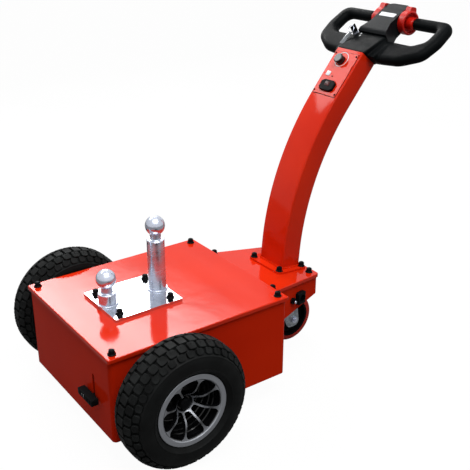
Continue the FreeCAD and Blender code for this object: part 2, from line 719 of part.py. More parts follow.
def make_ball_post(label, x, lift):
    """Turned post: a collar, a shank, a necked shoulder and the ball."""
    body = add_body(label, x=x, z=PLATE_TOP)
    half = add_sketch(body, "XZ_Plane")
    centre = lift - D.plate_thickness
    shoulder = centre - D.neck_drop
    taper = D.post_radius - D.ball_neck
    ball_foot = centre - root(D.ball_radius * D.ball_radius - D.ball_neck * D.ball_neck)
    outline(half, (0.0, 0.0), (D.post_collar, 0.0), (D.post_collar, D.collar_height, 1.5),
            (D.post_radius, D.collar_height), (D.post_radius, shoulder - 2.0),
            (D.post_radius - 2.0, shoulder), (D.ball_neck, shoulder, taper / 4),
            (D.ball_neck, ball_foot), ("arc", D.ball_radius, centre, D.ball_radius),
            ("arc", 0.0, centre + D.ball_radius, D.ball_radius))
    revolve(body, half)


def make_ball_posts():
    """Short post at the front, tall post behind it, both in line with the plate's bolts."""
    front = PLATE_CENTRE + D.ball_spacing / 2
    make_ball_post("short_ball_post", front, D.short_ball_lift)
    make_ball_post("tall_ball_post", front - D.ball_spacing, D.tall_ball_lift)


# --------------------------------------------------------------------------------------------
# Tongue
# --------------------------------------------------------------------------------------------

def tongue_half(inset, back):
    """Half width of the tongue, a distance behind the box, inset from the cover's edge."""
    return D.tongue_front_width / 2 - inset - TONGUE_TAPER * back


def make_tongue_walls():
    """Tapered welded wall behind the box: sloping rim, rising lower edge, rounded rear corners."""
    body = add_body("tongue_walls", x=BOX_REAR)
    length = D.tongue_length - LIP_INSET
    plan = add_sketch(body, "XY_Plane", BELLY_HEIGHT)
    front, rear = tongue_half(LIP_INSET, 0.0), tongue_half(LIP_INSET, length)
    outline(plan, (0.0, -front), (0.0, front), (-length, rear, 9.0), (-length, -rear, 9.0))
    pad(body, plan, TONGUE_TOP - BELLY_HEIGHT)
    room = add_sketch(body, "XY_Plane", BELLY_HEIGHT)
    inset = LIP_INSET + D.tongue_wall
    end = length - D.tongue_wall
    front, rear = tongue_half(inset, 0.0), tongue_half(inset, end)
    outline(room, (0.0, -front), (0.0, front), (-end, rear, 5.0), (-end, -rear, 5.0))
    pocket(body, room, backwards=True)
    above = add_sketch(body, "XZ_Plane")
    rim = TONGUE_TOP - D.cover_sheet / cosine(D.tongue_slope)
    outline(above, (0.0, rim), (0.0, D.deck_height), (-length, D.deck_height),
            (-length, rim - tangent(D.tongue_slope) * length))
    pocket(body, above, both_ways=True)
    below = add_sketch(body, "XZ_Plane")
    outline(below, (0.0, BELLY_HEIGHT), (-length, BELLY_HEIGHT + BELLY_RISE * length),
            (-length, 0.0), (0.0, 0.0))
    pocket(body, below, both_ways=True)


def make_tongue_belly():
    """Plate that closes the tongue from below and carries the caster."""
    body = add_body("tongue_belly", x=BOX_REAR, z=BELLY_HEIGHT, axis=(0, 1, 0), angle=D.belly_slope)
    level = cosine(D.belly_slope)
    inset = LIP_INSET + D.tongue_wall + D.weld_gap
    start = (D.weld_gap + D.tongue_wall * sine(D.belly_slope)) / level
    back = D.tongue_length - inset
    front, rear = tongue_half(inset, start * level), tongue_half(inset, back)
    plan = add_sketch(body, "XY_Plane")
    outline(plan, (-start, -front), (-start, front), (-back / level, rear, 8.0),
            (-back / level, -rear, 8.0))
    pad(body, plan, D.tongue_wall)


def make_tongue_cover():
    """Folded cover on the tongue; it slopes down towards the rear."""
    body = add_body("tongue_cover", **ON_TONGUE)
    level = cosine(D.tongue_slope)
    start = D.lip_depth * tangent(D.tongue_slope) + D.weld_gap
    length = D.tongue_length / level
    front, rear = tongue_half(0.0, start * level), tongue_half(0.0, D.tongue_length)
    blank = add_sketch(body, "XY_Plane", -D.lip_depth)
    outline(blank, (-start, -front), (-start, front), (-length, rear, 12.0), (-length, -rear, 12.0))
    pad(body, blank, D.lip_depth)
    round_edges(body, D.cover_sheet * 0.9, lambda edge: lies_at(edge, 2, 0.0)
                and not lies_at(edge, 0, -start))
    inside = add_sketch(body, "XY_Plane", -D.lip_depth)
    sheet = D.cover_sheet
    end = length - sheet
    front, rear = tongue_half(sheet, 0.0), tongue_half(sheet, end * level)
    outline(inside, (0.0, -front), (0.0, front), (-end, rear, 9.0), (-end, -rear, 9.0))
    pocket(body, inside, D.lip_depth - sheet, backwards=True)
    holes = add_sketch(body, "XY_Plane")
    corner_circles(holes, -D.base_back, D.base_bolts_along, D.base_bolts_across, D.base_hole)
    pocket(body, holes, both_ways=True)


def make_wall_fittings():
    """Charging socket and circuit breaker on the tongue's left wall."""
    across = cosine(TAPER_ANGLE)
    along = sine(TAPER_ANGLE)
    half = tongue_half(LIP_INSET, 0.0)
    for label, back in (("charge_socket", D.socket_back), ("circuit_breaker", D.breaker_back)):
        body = add_body(label, x=BOX_REAR - back * across, y=half - back * along,
                        z=D.socket_height, axis=(0, 0, 1), angle=TAPER_ANGLE)
        face = add_sketch(body, "XZ_Plane")
        if label == "charge_socket":
            side = D.socket_width / 2
            tall = D.socket_tall / 2
            rectangle(face, -side, side, -tall, tall, 5.0)
            pad(body, face, D.socket_depth, backwards=True)
            round_edges(body, 3.0, lambda edge: lies_at(edge, 1, D.socket_depth))
            well = add_sketch(body, "XZ_Plane", -D.socket_depth)
            circle(well, 0.0, 0.0, side - 5.0)
            pocket(body, well, D.socket_depth / 2, backwards=True)
        else:
            circle(face, 0.0, 0.0, D.breaker_radius)
            pad(body, face, D.socket_depth / 2, backwards=True)
            button = add_sketch(body, "XZ_Plane", -D.socket_depth / 2)
            circle(button, 0.0, 0.0, D.breaker_radius * 0.55)
            pad(body, button, D.socket_depth / 2, backwards=True)


# --------------------------------------------------------------------------------------------
# Drive wheels: each is modelled about its own centre, outboard side by "side"
# --------------------------------------------------------------------------------------------

def add_wheel_body(label, side):
    """Start a piece that turns with a drive wheel; its y axis is the wheel's axis."""
    return add_body(label, y=side * D.wheel_track / 2, z=D.tyre_radius,
                    axis=(0, -1, 0), angle=D.spoke_start + 180 / D.spoke_count)


def make_tyre(name, side):
    """Pneumatic tyre: a broad round section on the rim's bead seats."""
    body = add_wheel_body(f"tyre_{name}", side)
    half = D.tyre_width / 2
    seat = D.rim_face - D.rim_flange
    bead = D.rim_radius - D.rim_lip
    section = add_sketch(body, "YZ_Plane")
    outline(section, (-seat, bead), (seat, bead), (seat, D.rim_radius),
            (half, D.rim_radius + 6.0, 10.0), (half, D.tyre_radius, TYRE_SHOULDER),
            (-half, D.tyre_radius, TYRE_SHOULDER), (-half, D.rim_radius + 6.0, 10.0),
            (-seat, D.rim_radius))
    revolve(body, section, "H_Axis")


def make_rim(name, side):
    """Dished alloy rim: a deep bowl pierced by petals, so that narrow spokes flare into the ring."""
    body = add_wheel_body(f"rim_{name}", side)
    bead = D.rim_radius - D.rim_lip
    inner = bead - D.rim_gauge
    bowl = add_sketch(body, "YZ_Plane")
    back = D.rim_seat - D.rim_disc
    ring_back = D.rim_face - D.rim_disc - 2.0
    outline(bowl, (side * D.rim_seat, D.hub_spigot), (side * D.rim_seat, D.rim_bowl - 8.0),
            (side * (D.rim_seat + 9.0), D.rim_bowl - 2.0),
            (side * (D.rim_seat + 16.0), D.rim_bowl + 3.0),
            (side * (D.rim_face - 11.0), D.rim_bowl + 15.0, 30.0),
            (side * (D.rim_face - 1.5), inner + 1.0), (side * ring_back, inner + 1.0),
            (side * (D.rim_face - 20.0), D.rim_bowl + 22.0, 30.0),
            (side * (back + 10.0), D.rim_bowl + 6.0), (side * back, D.rim_bowl),
            (side * back, D.hub_spigot))
    revolve(body, bowl, "H_Axis")
    petals = cut_petal(body, inner)
    repeat_round(body, petals, "Y_Axis", D.spoke_count)
    barrel = add_sketch(body, "YZ_Plane")
    face = side * D.rim_face
    seat = side * (D.rim_face - D.rim_flange)
    outline(barrel, (face, D.rim_radius, 1.5), (face, bead), (face - side * D.rim_gauge, inner),
            (-face, inner), (-face, D.rim_radius), (-seat, D.rim_radius), (-seat, bead),
            (seat, bead), (seat, D.rim_radius))
    revolve(body, barrel, "H_Axis")


def cut_petal(body, reach):
    """Cut one opening between two spokes; its sides run parallel to the spokes' middles."""
    half_angle = 180 / D.spoke_count
    slope = tangent(half_angle)
    offset = D.spoke_width / 2 / cosine(half_angle)
    near = D.rim_bowl - 2.0
    far = reach + 2.0
    petal = add_sketch(body, "XZ_Plane")
    outline(petal, (near, offset - slope * near, 5.0), (far, offset - slope * far, 13.0),
            (far, slope * far - offset, 13.0), (near, slope * near - offset, 5.0))
    return pocket(body, petal, both_ways=True)


def make_hub(name, side):
    """Hub flange, spigot and drive shaft in one turned piece, and the nut that holds the rim."""
    body = add_wheel_body(f"hub_{name}", side)
    back = D.rim_seat - D.rim_disc
    shaft_end = D.shaft_reach - D.wheel_track / 2
    boss_end = (BOX_WIDTH - D.wheel_track) / 2 + D.axle_tube_stub + 5.0
    section = add_sketch(body, "YZ_Plane")
    outline(section, (side * D.rim_seat, 0.0), (side * D.rim_seat, D.hub_spigot),
            (side * back, D.hub_spigot), (side * back, D.hub_flange),
            (side * (back - 8.0), D.hub_flange), (side * (back - 8.0), D.shaft_radius + 5.0),
            (side * boss_end, D.shaft_radius + 5.0), (side * boss_end, D.shaft_radius),
            (side * shaft_end, D.shaft_radius), (side * shaft_end, 0.0))
    revolve(body, section, "H_Axis")
    nut = add_wheel_body(f"hub_nut_{name}", side)
    cap = add_sketch(nut, "YZ_Plane")
    top = D.rim_seat + D.hub_nut_height
    outline(cap, (side * D.rim_seat, 0.0), (side * D.rim_seat, D.hub_nut),
            (side * (top - 3.0), D.hub_nut), (side * top, D.hub_nut - 4.0), (side * top, 0.0))
    revolve(nut, cap, "H_Axis")


def make_drive_wheels():
    """Both drive wheels, dished outwards."""
    for side, name in ((1, "left"), (-1, "right")):
        make_tyre(name, side)
        make_rim(name, side)
        make_hub(name, side)


# --------------------------------------------------------------------------------------------
# Caster
# --------------------------------------------------------------------------------------------

def make_caster_mount():
    """Wedge under the sloping belly, and the level top plate with its swivel pin."""
    mount = add_body("caster_mount", x=SWIVEL_X)
    half = D.caster_plate_side / 2
    behind = D.caster_back
    wedge = add_sketch(mount, "XZ_Plane")
    low = CASTER_PLATE_BASE + D.caster_plate
    outline(wedge, (-half, low), (half, low), (half, BELLY_HEIGHT + BELLY_RISE * (behind - half)),
            (-half, BELLY_HEIGHT + BELLY_RISE * (behind + half)))
    pad(mount, wedge, D.caster_plate_side, both_ways=True)
    plate = add_body("caster_top_plate", x=SWIVEL_X, z=CASTER_PLATE_BASE)
    blank = add_sketch(plate, "XY_Plane")
    rectangle(blank, -half, half, -half, half, 8.0)
    pad(plate, blank, D.caster_plate)
    pin = add_sketch(plate, "XZ_Plane")
    head = -D.fork_crown - 2 * D.face_gap
    outline(pin, (0.0, 0.0), (D.kingpin_radius, 0.0), (D.kingpin_radius, head),
            (D.kingpin_radius + 5.0, head), (D.kingpin_radius + 5.0, head - D.kingpin_head),
            (0.0, head - D.kingpin_head))
    revolve(plate, pin)


def make_caster_fork():
    """Bent fork with a round raceway on its crown; it swivels about the pin."""
    body = add_body("caster_fork", x=SWIVEL_X)
    crown_base = 2 * D.caster_radius + D.crown_gap
    outer = FORK_HALF + D.fork_gauge
    front = D.crown_radius * 0.75
    rear = D.caster_trail + D.caster_hub * 0.5
    crown = add_sketch(body, "XY_Plane", crown_base)
    rectangle(crown, -rear, front, -outer, outer)
    pad(body, crown, D.fork_gauge)
    raceway = add_sketch(body, "XY_Plane", crown_base + D.fork_gauge)
    circle(raceway, 0.0, 0.0, D.crown_radius)
    pad(body, raceway, D.fork_crown - D.fork_gauge)
    foot = D.caster_radius - D.caster_hub * 1.4
    for side in (-1, 1):
        start = FORK_HALF if side > 0 else -outer
        leg = add_sketch(body, "XZ_Plane", -start)
        outline(leg, (front, crown_base + D.fork_gauge), (-rear, crown_base + D.fork_gauge),
                (-D.caster_trail - D.caster_hub * 1.3, foot, D.caster_hub),
                (-D.caster_trail + D.caster_hub * 1.3, foot, D.caster_hub),
                (front, crown_base - D.fork_gauge, D.caster_hub))
        pad(body, leg, D.fork_gauge, backwards=True)
    bore = add_sketch(body, "XY_Plane", crown_base)
    circle(bore, 0.0, 0.0, D.kingpin_radius + D.shaft_clearance)
    pocket(body, bore, backwards=True)
    axle = add_sketch(body, "XZ_Plane")
    circle(axle, -D.caster_trail, D.caster_radius, D.caster_bolt)
    pocket(body, axle, both_ways=True)
    make_caster_bolt(outer)


def make_caster_bolt(outer):
    """Axle bolt through the fork's legs, with a head at one end and a nut at the other."""
    body = add_body("caster_axle_bolt", x=SWIVEL_X - D.caster_trail, z=D.caster_radius)
    section = add_sketch(body, "YZ_Plane")
    head = D.caster_bolt + 4.0
    tip = outer + 6.0
    outline(section, (-tip, 0.0), (-tip, head), (-outer, head), (-outer, D.caster_bolt),
            (outer, D.caster_bolt), (outer, head), (tip, head), (tip, D.caster_bolt),
            (tip + 4.0, D.caster_bolt), (tip + 4.0, 0.0))
    revolve(body, section, "H_Axis")


def make_caster_wheel():
    """Moulded core with a bushed hub, and the bonded tread round it."""
    where = {"x": SWIVEL_X - D.caster_trail, "z": D.caster_radius}
    core = add_body("caster_core", **where)
    half = D.caster_width / 2
    rim = D.caster_radius - D.caster_tread
    bore = D.caster_bolt + D.shaft_clearance
    hub_end = FORK_HALF - D.face_gap
    web = 5.0
    section = add_sketch(core, "YZ_Plane")
    outline(section, (-hub_end, bore), (-hub_end, D.caster_hub), (-web, D.caster_hub + 2.0, 4.0),
            (-web, rim - 8.0, 4.0), (1.0 - half, rim - 6.0), (1.0 - half, rim),
            (half - 1.0, rim), (half - 1.0, rim - 6.0), (web, rim - 8.0, 4.0),
            (web, D.caster_hub + 2.0, 4.0), (hub_end, D.caster_hub), (hub_end, bore))
    revolve(core, section, "H_Axis")
    tread = add_body("caster_tread", **where)
    band = add_sketch(tread, "YZ_Plane")
    outline(band, (-half, rim), (half, rim), (half, D.caster_radius, 7.0),
            (-half, D.caster_radius, 7.0))
    revolve(tread, band, "H_Axis")


# --------------------------------------------------------------------------------------------
# Tiller column with its base plate and control panel
# --------------------------------------------------------------------------------------------

def make_base_plate():
    """Plate welded to the column's foot and bolted to the tongue."""
    body = add_body("tiller_base_plate", **ON_TONGUE)
    blank = add_sketch(body, "XY_Plane")
    half = D.base_length / 2
    rectangle(blank, -D.base_back - half, half - D.base_back, -D.base_width / 2, D.base_width / 2,
              D.base_corner)
    corner_circles(blank, -D.base_back, D.base_bolts_along, D.base_bolts_across, D.base_hole)
    pad(body, blank, D.base_thickness)


def make_column():
    """Rectangular hollow section swept up a straight foot, a long bend and a straight top."""
    body = add_body("tiller_column", **ON_TONGUE)
    section = add_sketch(body, "XY_Plane", D.base_thickness)
    half_depth, half_width = D.tube_depth / 2, D.tube_width / 2
    rectangle(section, -D.tiller_back - half_depth, half_depth - D.tiller_back,
              -half_width, half_width, D.tube_round)
    inner_depth, inner_width = half_depth - D.tube_wall, half_width - D.tube_wall
    rectangle(section, -D.tiller_back - inner_depth, inner_depth - D.tiller_back,
              -inner_width, inner_width, D.tube_round / 2)
    spine = add_sketch(body, "XZ_Plane")
    turn = D.tiller_lean - D.tongue_slope
    low = (-D.tiller_back, D.base_thickness)
    bend = (-D.tiller_back, D.base_thickness + D.tiller_foot_run)
    rise = (bend[0] - D.tiller_bend * (1 - cosine(turn)), bend[1] + D.tiller_bend * sine(turn))
    high = (rise[0] - D.tiller_top_run * sine(turn), rise[1] + D.tiller_top_run * cosine(turn))
    trace(spine, low, bend, rise, high, D.tiller_bend)
    pipe = body.newObject("PartDesign::AdditivePipe", "Pipe")
    pipe.Profile = section
    pipe.Spine = (spine, ["Edge1", "Edge2", "Edge3"])


def trace(sketch, low, bend, rise, high, radius):
    """Draw a straight run, a left-hand bend and another straight run through four points."""
    runs = (Part.LineSegment(flat(*low), flat(*bend)),
            arc_between(flat(*bend), flat(*rise), radius.value),
            Part.LineSegment(flat(*rise), flat(*high)))
    first, curve, last = (sketch.addGeometry(run, False) for run in runs)
    curve_start = arc_end(sketch, curve, flat(*bend))
    rules = Rules(sketch)
    rules.add("Coincident", first, 2, curve, curve_start)
    rules.add("Coincident", curve, 3 - curve_start, last, 1)
    for edge, end, spot in ((first, 1, low), (first, 2, bend), (last, 1, rise), (last, 2, high)):
        rules.pin(edge, end, *spot)
    rules.measure(radius, "Radius", curve)
    rules.apply()


def make_control_panel():
    """Panel on the column's front face, with the speed knob and the charge gauge on it."""
    face = D.tube_depth / 2
    panel = add_body("control_panel", **ON_COLUMN_TOP)
    blank = add_sketch(panel, "YZ_Plane", face)
    top = D.tiller_top_run - D.panel_margin
    rectangle(blank, -PANEL_WIDTH / 2, PANEL_WIDTH / 2, top - D.panel_length, top, 4.0)
    pad(panel, blank, D.panel_gauge)

    knob = add_body("speed_knob", **ON_COLUMN_TOP)
    base = add_sketch(knob, "YZ_Plane", face + D.panel_gauge)
    circle(base, -D.knob_shift, D.tiller_top_run - D.knob_drop, D.knob_radius)
    pad(knob, base, D.knob_height)
    round_edges(knob, 2.5, lambda edge: lies_at(edge, 0, face + D.panel_gauge + D.knob_height))

    gauge = add_body("charge_gauge", **ON_COLUMN_TOP)
    bezel = add_sketch(gauge, "YZ_Plane", face + D.panel_gauge)
    middle = D.tiller_top_run - D.gauge_drop
    half, tall = D.gauge_length / 2, D.gauge_height / 2
    cut = D.gauge_height * 0.3
    outline(bezel, (cut - half, middle - tall), (half - cut, middle - tall), (half, middle - cut),
            (half, middle + cut), (half - cut, middle + tall), (cut - half, middle + tall),
            (-half, middle + cut), (-half, middle - cut))
    pad(gauge, bezel, D.gauge_depth)
    round_edges(gauge, 2.0, lambda edge: lies_at(edge, 0, face + D.panel_gauge + D.gauge_depth))


# --------------------------------------------------------------------------------------------
# Handle
# --------------------------------------------------------------------------------------------

def neck_line(height):
    """Where the plane of the column's end lies in the handle's frame, at a height above the loop."""
    return D.head_reach + (height - D.head_drop) * tangent(NECK_ANGLE)


def make_handle_loop():
    """Moulded loop: round grips, a broad bow, and a neck that caps the column's end."""
    body = add_body("handle_loop", **AT_HANDLE)
    thickness = 2 * D.grip_radius
    crown = D.grip_line + D.grip_radius
    ring = add_sketch(body, "XY_Plane")
    half = D.handle_half
    flare = D.handle_flare
    reach = D.head_reach
    inner = D.grip_line - D.grip_radius
    outline(ring, (-crown, -half, 32.0), (-inner * 0.45, -flare, 80.0),
            (reach * 0.35, -flare * 0.945, 45.0), (reach * 0.86, -flare * 0.665, 60.0),
            (reach, -NECK_WIDTH / 2, 20.0), (reach, NECK_WIDTH / 2, 20.0),
            (reach * 0.86, flare * 0.665, 60.0), (reach * 0.35, flare * 0.945, 45.0),
            (-inner * 0.45, flare, 80.0), (-crown, half, 32.0))
    foot = D.opening_foot
    side = D.opening_half
    outline(ring, (-inner, -side, 12.0), (-inner * 0.33, -side, 20.0), (-foot, -side * 0.83, 20.0),
            (-foot, side * 0.83, 20.0), (-inner * 0.33, side, 20.0), (-inner, side, 12.0))
    pad(body, ring, thickness, both_ways=True)
    round_edges(body, D.grip_radius - 1.0, lambda edge: lies_at(edge, 2, D.grip_radius)
                or lies_at(edge, 2, -D.grip_radius))
    notch = add_sketch(body, "XY_Plane")
    start = D.grip_start
    rectangle(notch, -crown - 5.0, 5.0 - inner, -start, start)
    pocket(body, notch, both_ways=True)
    spindle = add_sketch(body, "XZ_Plane")
    circle(spindle, -D.grip_line, 0.0, D.spindle_radius)
    pad(body, spindle, 2 * start, both_ways=True)
    add_neck(body)


def add_neck(body):
    """Wedge from the bow to the column's end plane, then a trim that leaves room for the column."""
    under, over = -D.grip_radius, D.grip_radius + 1.0
    tall = D.head_drop + D.tube_depth / 2 * cosine(NECK_ANGLE)
    side = add_sketch(body, "XZ_Plane")
    foot = D.opening_foot
    outline(side, (-foot, under), (-foot, over + 6.0), (neck_line(tall), tall),
            (neck_line(under - 4.0), under - 4.0), (D.head_reach / 2, under - 3.0))
    pad(body, side, NECK_WIDTH, both_ways=True)
    shoulder = add_sketch(body, "XZ_Plane")
    outline(shoulder, (D.key_barrel + 1.0, 0.0), (D.key_barrel + 1.0, over),
            (neck_line(tall * 0.62), tall * 0.62),
            (neck_line(0.0), 0.0))
    pad(body, shoulder, NECK_WIDTH + 2 * D.neck_shoulder, both_ways=True)
    trim = add_sketch(body, "XZ_Plane")
    far = D.head_reach * 2
    outline(trim, (neck_line(far), far), (neck_line(-far), -far), (far * 2, -far), (far * 2, far))
    pocket(body, trim, NECK_WIDTH + 3 * D.neck_shoulder, both_ways=True)


def make_control_housing():
    """Housing between the grips: a broad foot on the bow, tapering to a rounded end."""
    body = add_body("control_housing", **AT_HANDLE)
    foot, end = D.opening_foot, D.housing_top
    wide, narrow = NECK_WIDTH / 2, D.housing_half
    plan = add_sketch(body, "XY_Plane", -D.housing_under)
    waist = foot + wide * 0.75
    outline(plan, (-foot, -wide), (-foot, wide), (-waist, narrow, 30.0), (-end, narrow, 16.0),
            (-end, -narrow, 16.0), (-waist, -narrow, 30.0))
    pad(body, plan, D.housing_under + D.housing_over)
    shape_housing(body, foot, end)
    bore = add_sketch(body, "XZ_Plane")
    circle(bore, -D.grip_line, 0.0, D.spindle_radius)
    pocket(body, bore, both_ways=True)


def shape_housing(body, foot, end):
    """Cut the housing's top to a low step at the foot and a rounded slope at its end."""
    over, under = D.housing_over, D.housing_under
    beyond = over * 2
    top = add_sketch(body, "XZ_Plane")
    low = over - D.housing_fall
    outline(top, (5.0 - foot, low), (-foot, low), (-foot - 8.0, over, 10.0),
            (-end * 0.86, over - 2.0, 40.0), (-end, low - 3.0), (-end - 5.0, low - 12.0),
            (-end - 5.0, beyond), (5.0 - foot, beyond))
    pocket(body, top, both_ways=True)
    bottom = add_sketch(body, "XZ_Plane")
    outline(bottom, (-end * 0.75, -under), (-end - 5.0, -under * 0.2), (-end - 5.0, -beyond),
            (-end * 0.75, -beyond))
    pocket(body, bottom, both_ways=True)


def make_thumb_levers():
    """Butterfly thumb levers on the spindle, one on each side of the housing."""
    for side, name in ((1, "left"), (-1, "right")):
        body = add_body(f"thumb_lever_{name}", **AT_GRIPS)
        near = side * (D.housing_half + D.lever_gap)
        rim = side * (D.housing_half + D.lever_gap + D.lever_width)
        floor = side * (D.housing_half + D.lever_gap + D.lever_width * 0.4)
        far = side * (D.grip_start - D.lever_gap)
        bore = D.spindle_radius + 0.1
        section = add_sketch(body, "YZ_Plane")
        outline(section, (near, bore), (near, D.lever_radius, 2.0),
                (rim, D.lever_radius, 4.0), (rim, D.lever_radius - D.lever_rim, 1.5),
                (floor, D.lever_radius - D.lever_rim, 4.0), (floor, D.lever_collar),
                (far, D.lever_collar), (far, bore))
        revolve(body, section, "H_Axis")
        add_wing(body, side)


def add_wing(body, side):
    """Paddle that stands out of a lever's rim, up and away from the driver."""
    lift = D.housing_half + D.lever_gap + 2.0
    wing = add_sketch(body, "XZ_Plane", -side * lift)
    low, high = D.lever_radius * 0.31, D.lever_radius * 0.9
    outline(wing, (-low, high), (-high, low), (-high * 1.25, low * 2.3, 7.0),
            (-low * 2.3, high * 1.25, 7.0))
    pad(body, wing, D.lever_width - 4.0, backwards=side > 0)


def make_key_switch():
    """Key switch on the bow, with the key standing in it."""
    switch = add_body("key_switch", **AT_HANDLE)
    barrel = add_sketch(switch, "XY_Plane", D.grip_radius)
    circle(barrel, 0.0, -D.key_offset, D.key_barrel)
    pad(switch, barrel, D.key_barrel_height)
    key = add_body("key", **AT_HANDLE)
    blade = add_sketch(key, "XY_Plane", D.grip_radius + D.key_barrel_height)
    rectangle(blade, -D.key_barrel, D.key_barrel, -1.2 - D.key_offset, 1.2 - D.key_offset)
    pad(key, blade, D.key_head)


# --------------------------------------------------------------------------------------------
# Build, check and write
# --------------------------------------------------------------------------------------------

def check_document():
    """Stop on any failed object, empty or broken shape, or cut that removes nothing."""
    faults = []
    for item in DOC.Objects:
        if "Invalid" in item.State or "Error" in item.State:
            owner = item.getParentGeoFeatureGroup()
            faults.append(f"{item.Name} of {owner.Label if owner else 'the document'}: {item.getStatusString()}")
    for body in SUB_PARTS:
        shape = body.Shape
        if shape.isNull() or not shape.isValid() or not shape.Solids:
            faults.append(f"{body.Label} has no valid solid")
    for cut in CUTS:
        if not faults and cut.Shape.Volume > cut.BaseFeature.Shape.Volume - 1.0:
            faults.append(f"{cut.Name} of {cut.getParentGeoFeatureGroup().Label} cuts nothing")
    if faults:
        raise RuntimeError("\n".join(faults))


def write_parts():
    """Write every sub-part to its own file."""
    os.makedirs("parts", exist_ok=True)
    for body in SUB_PARTS:
        body.Shape.exportStep(os.path.join("parts", f"{body.Label}.step"))


def build():
    """Model every sub-part, then check and write them."""
    make_chassis_box()
    make_main_cover()
    make_heavy_masses()
    make_axle_tubes()
    make_pedal()
    make_coupling_plate()
    make_ball_posts()
    make_tongue_walls()
    make_tongue_belly()
    make_tongue_cover()
    make_wall_fittings()
    make_drive_wheels()
    make_caster_mount()
    make_caster_fork()
    make_caster_wheel()
    make_base_plate()
    make_column()
    make_control_panel()
    make_handle_loop()
    make_control_housing()
    make_thumb_levers()
    make_key_switch()
    DOC.recompute()
    check_document()
    write_parts()
    low = min(body.Shape.BoundBox.XMin for body in SUB_PARTS)
    high = max(body.Shape.BoundBox.XMax for body in SUB_PARTS)
    print(f"{len(SUB_PARTS)} sub-parts, x from {low:.2f} to {high:.2f}")


build()
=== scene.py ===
"""Looks of a pedestrian electric tow tug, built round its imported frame.

Lengths are in metres, in the frame of the part: +X is the end with the tow balls, +Y the side
with the charging socket, +Z up, and the ground lies at zero.
"""

import logging
import math
from dataclasses import dataclass, field, replace
from enum import Enum
from typing import Any, Sequence

import bmesh
import bpy
from mathutils import Euler, Matrix, Quaternion, Vector

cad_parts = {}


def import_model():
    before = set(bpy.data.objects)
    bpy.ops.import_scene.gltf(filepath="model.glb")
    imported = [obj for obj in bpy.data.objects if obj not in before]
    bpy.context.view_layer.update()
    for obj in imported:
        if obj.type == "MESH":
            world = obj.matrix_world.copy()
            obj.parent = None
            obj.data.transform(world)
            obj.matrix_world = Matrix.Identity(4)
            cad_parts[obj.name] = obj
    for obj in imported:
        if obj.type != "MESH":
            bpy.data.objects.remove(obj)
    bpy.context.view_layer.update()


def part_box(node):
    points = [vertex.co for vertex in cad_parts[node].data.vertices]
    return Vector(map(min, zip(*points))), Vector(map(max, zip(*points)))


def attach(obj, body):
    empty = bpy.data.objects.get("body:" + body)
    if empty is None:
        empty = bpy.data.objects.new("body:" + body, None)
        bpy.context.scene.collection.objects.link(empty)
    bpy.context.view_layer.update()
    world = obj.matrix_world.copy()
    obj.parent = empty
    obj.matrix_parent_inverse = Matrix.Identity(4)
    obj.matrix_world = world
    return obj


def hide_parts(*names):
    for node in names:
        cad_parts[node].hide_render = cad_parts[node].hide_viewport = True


LOG = logging.getLogger("tow_tug")

Pair = tuple[float, float]
Triple = tuple[float, float, float]
Colour = tuple[float, float, float, float]
Socket = bpy.types.NodeSocket
Shell = bmesh.types.BMesh

CHASSIS = "chassis"
EVEN = (1.0, 1.0, 1.0)
WHITE = (1.0, 1.0, 1.0, 1.0)
POLE = 1e-7
MERGE = 0.000005
PACKED_MERGE = 0.00002


class Slot(Enum):
    """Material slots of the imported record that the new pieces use."""

    RED_PAINT = "red_paint"
    ZINC_STEEL = "zinc_steel"
    BLACK_MOULDING = "black_moulding"
    RED_MOULDING = "red_moulding"
    BRIGHT_METAL = "bright_metal"
    BLACK_STEEL = "black_steel"
    PEDAL_RUBBER = "pedal_rubber"
    TYRE = "tyre"
    ALLOY_RIM = "alloy_rim"


# ---- Node trees ----


def srgb(*display: int) -> Colour:
    """Turn a colour written in 0-255 display values into linear light.

    Args:
        display: Red, green and blue, 0 to 255.

    Returns:
        The linear colour with an alpha of 1.
    """
    shares = [value / 255 for value in display]
    return (*(share / 12.92 if share <= 0.04045 else ((share + 0.055) / 1.055) ** 2.4
              for share in shares), 1.0)


class Nodes:
    """A node tree, built a node at a time."""

    def __init__(self, tree: bpy.types.NodeTree) -> None:
        """Take up a tree."""
        self.tree = tree

    def join(self, value: Any, socket: Socket) -> None:
        """Link a socket to an input, or set the input to a value."""
        if isinstance(value, Socket):
            self.tree.links.new(value, socket)
        else:
            socket.default_value = value

    def add(self, kind: str, inputs: dict[str | int, Any] | None = None,
            **settings: Any) -> bpy.types.NodeOutputs:
        """Add a node.

        Args:
            kind: Type name of the node.
            inputs: Values or sockets for its inputs, by name or index.
            settings: Properties of the node.

        Returns:
            The sockets that it gives out.
        """
        node = self.tree.nodes.new(kind)
        for name, value in settings.items():
            setattr(node, name, value)
        for name, value in (inputs or {}).items():
            self.join(value, node.inputs[name])
        return node.outputs

    def sum(self, operation: str, first: Any, second: Any = 0.0) -> Socket:
        """Result of one Math node."""
        return self.add("ShaderNodeMath", {0: first, 1: second}, operation=operation)[0]

    def spread(self, source: Socket, low: float, high: float, to_low: float = 0.0,
               to_high: float = 1.0) -> Socket:
        """Map one range of a value to another, held at both ends."""
        return self.add("ShaderNodeMapRange", {"Value": source, "From Min": low, "From Max": high,
                                               "To Min": to_low, "To Max": to_high})["Result"]


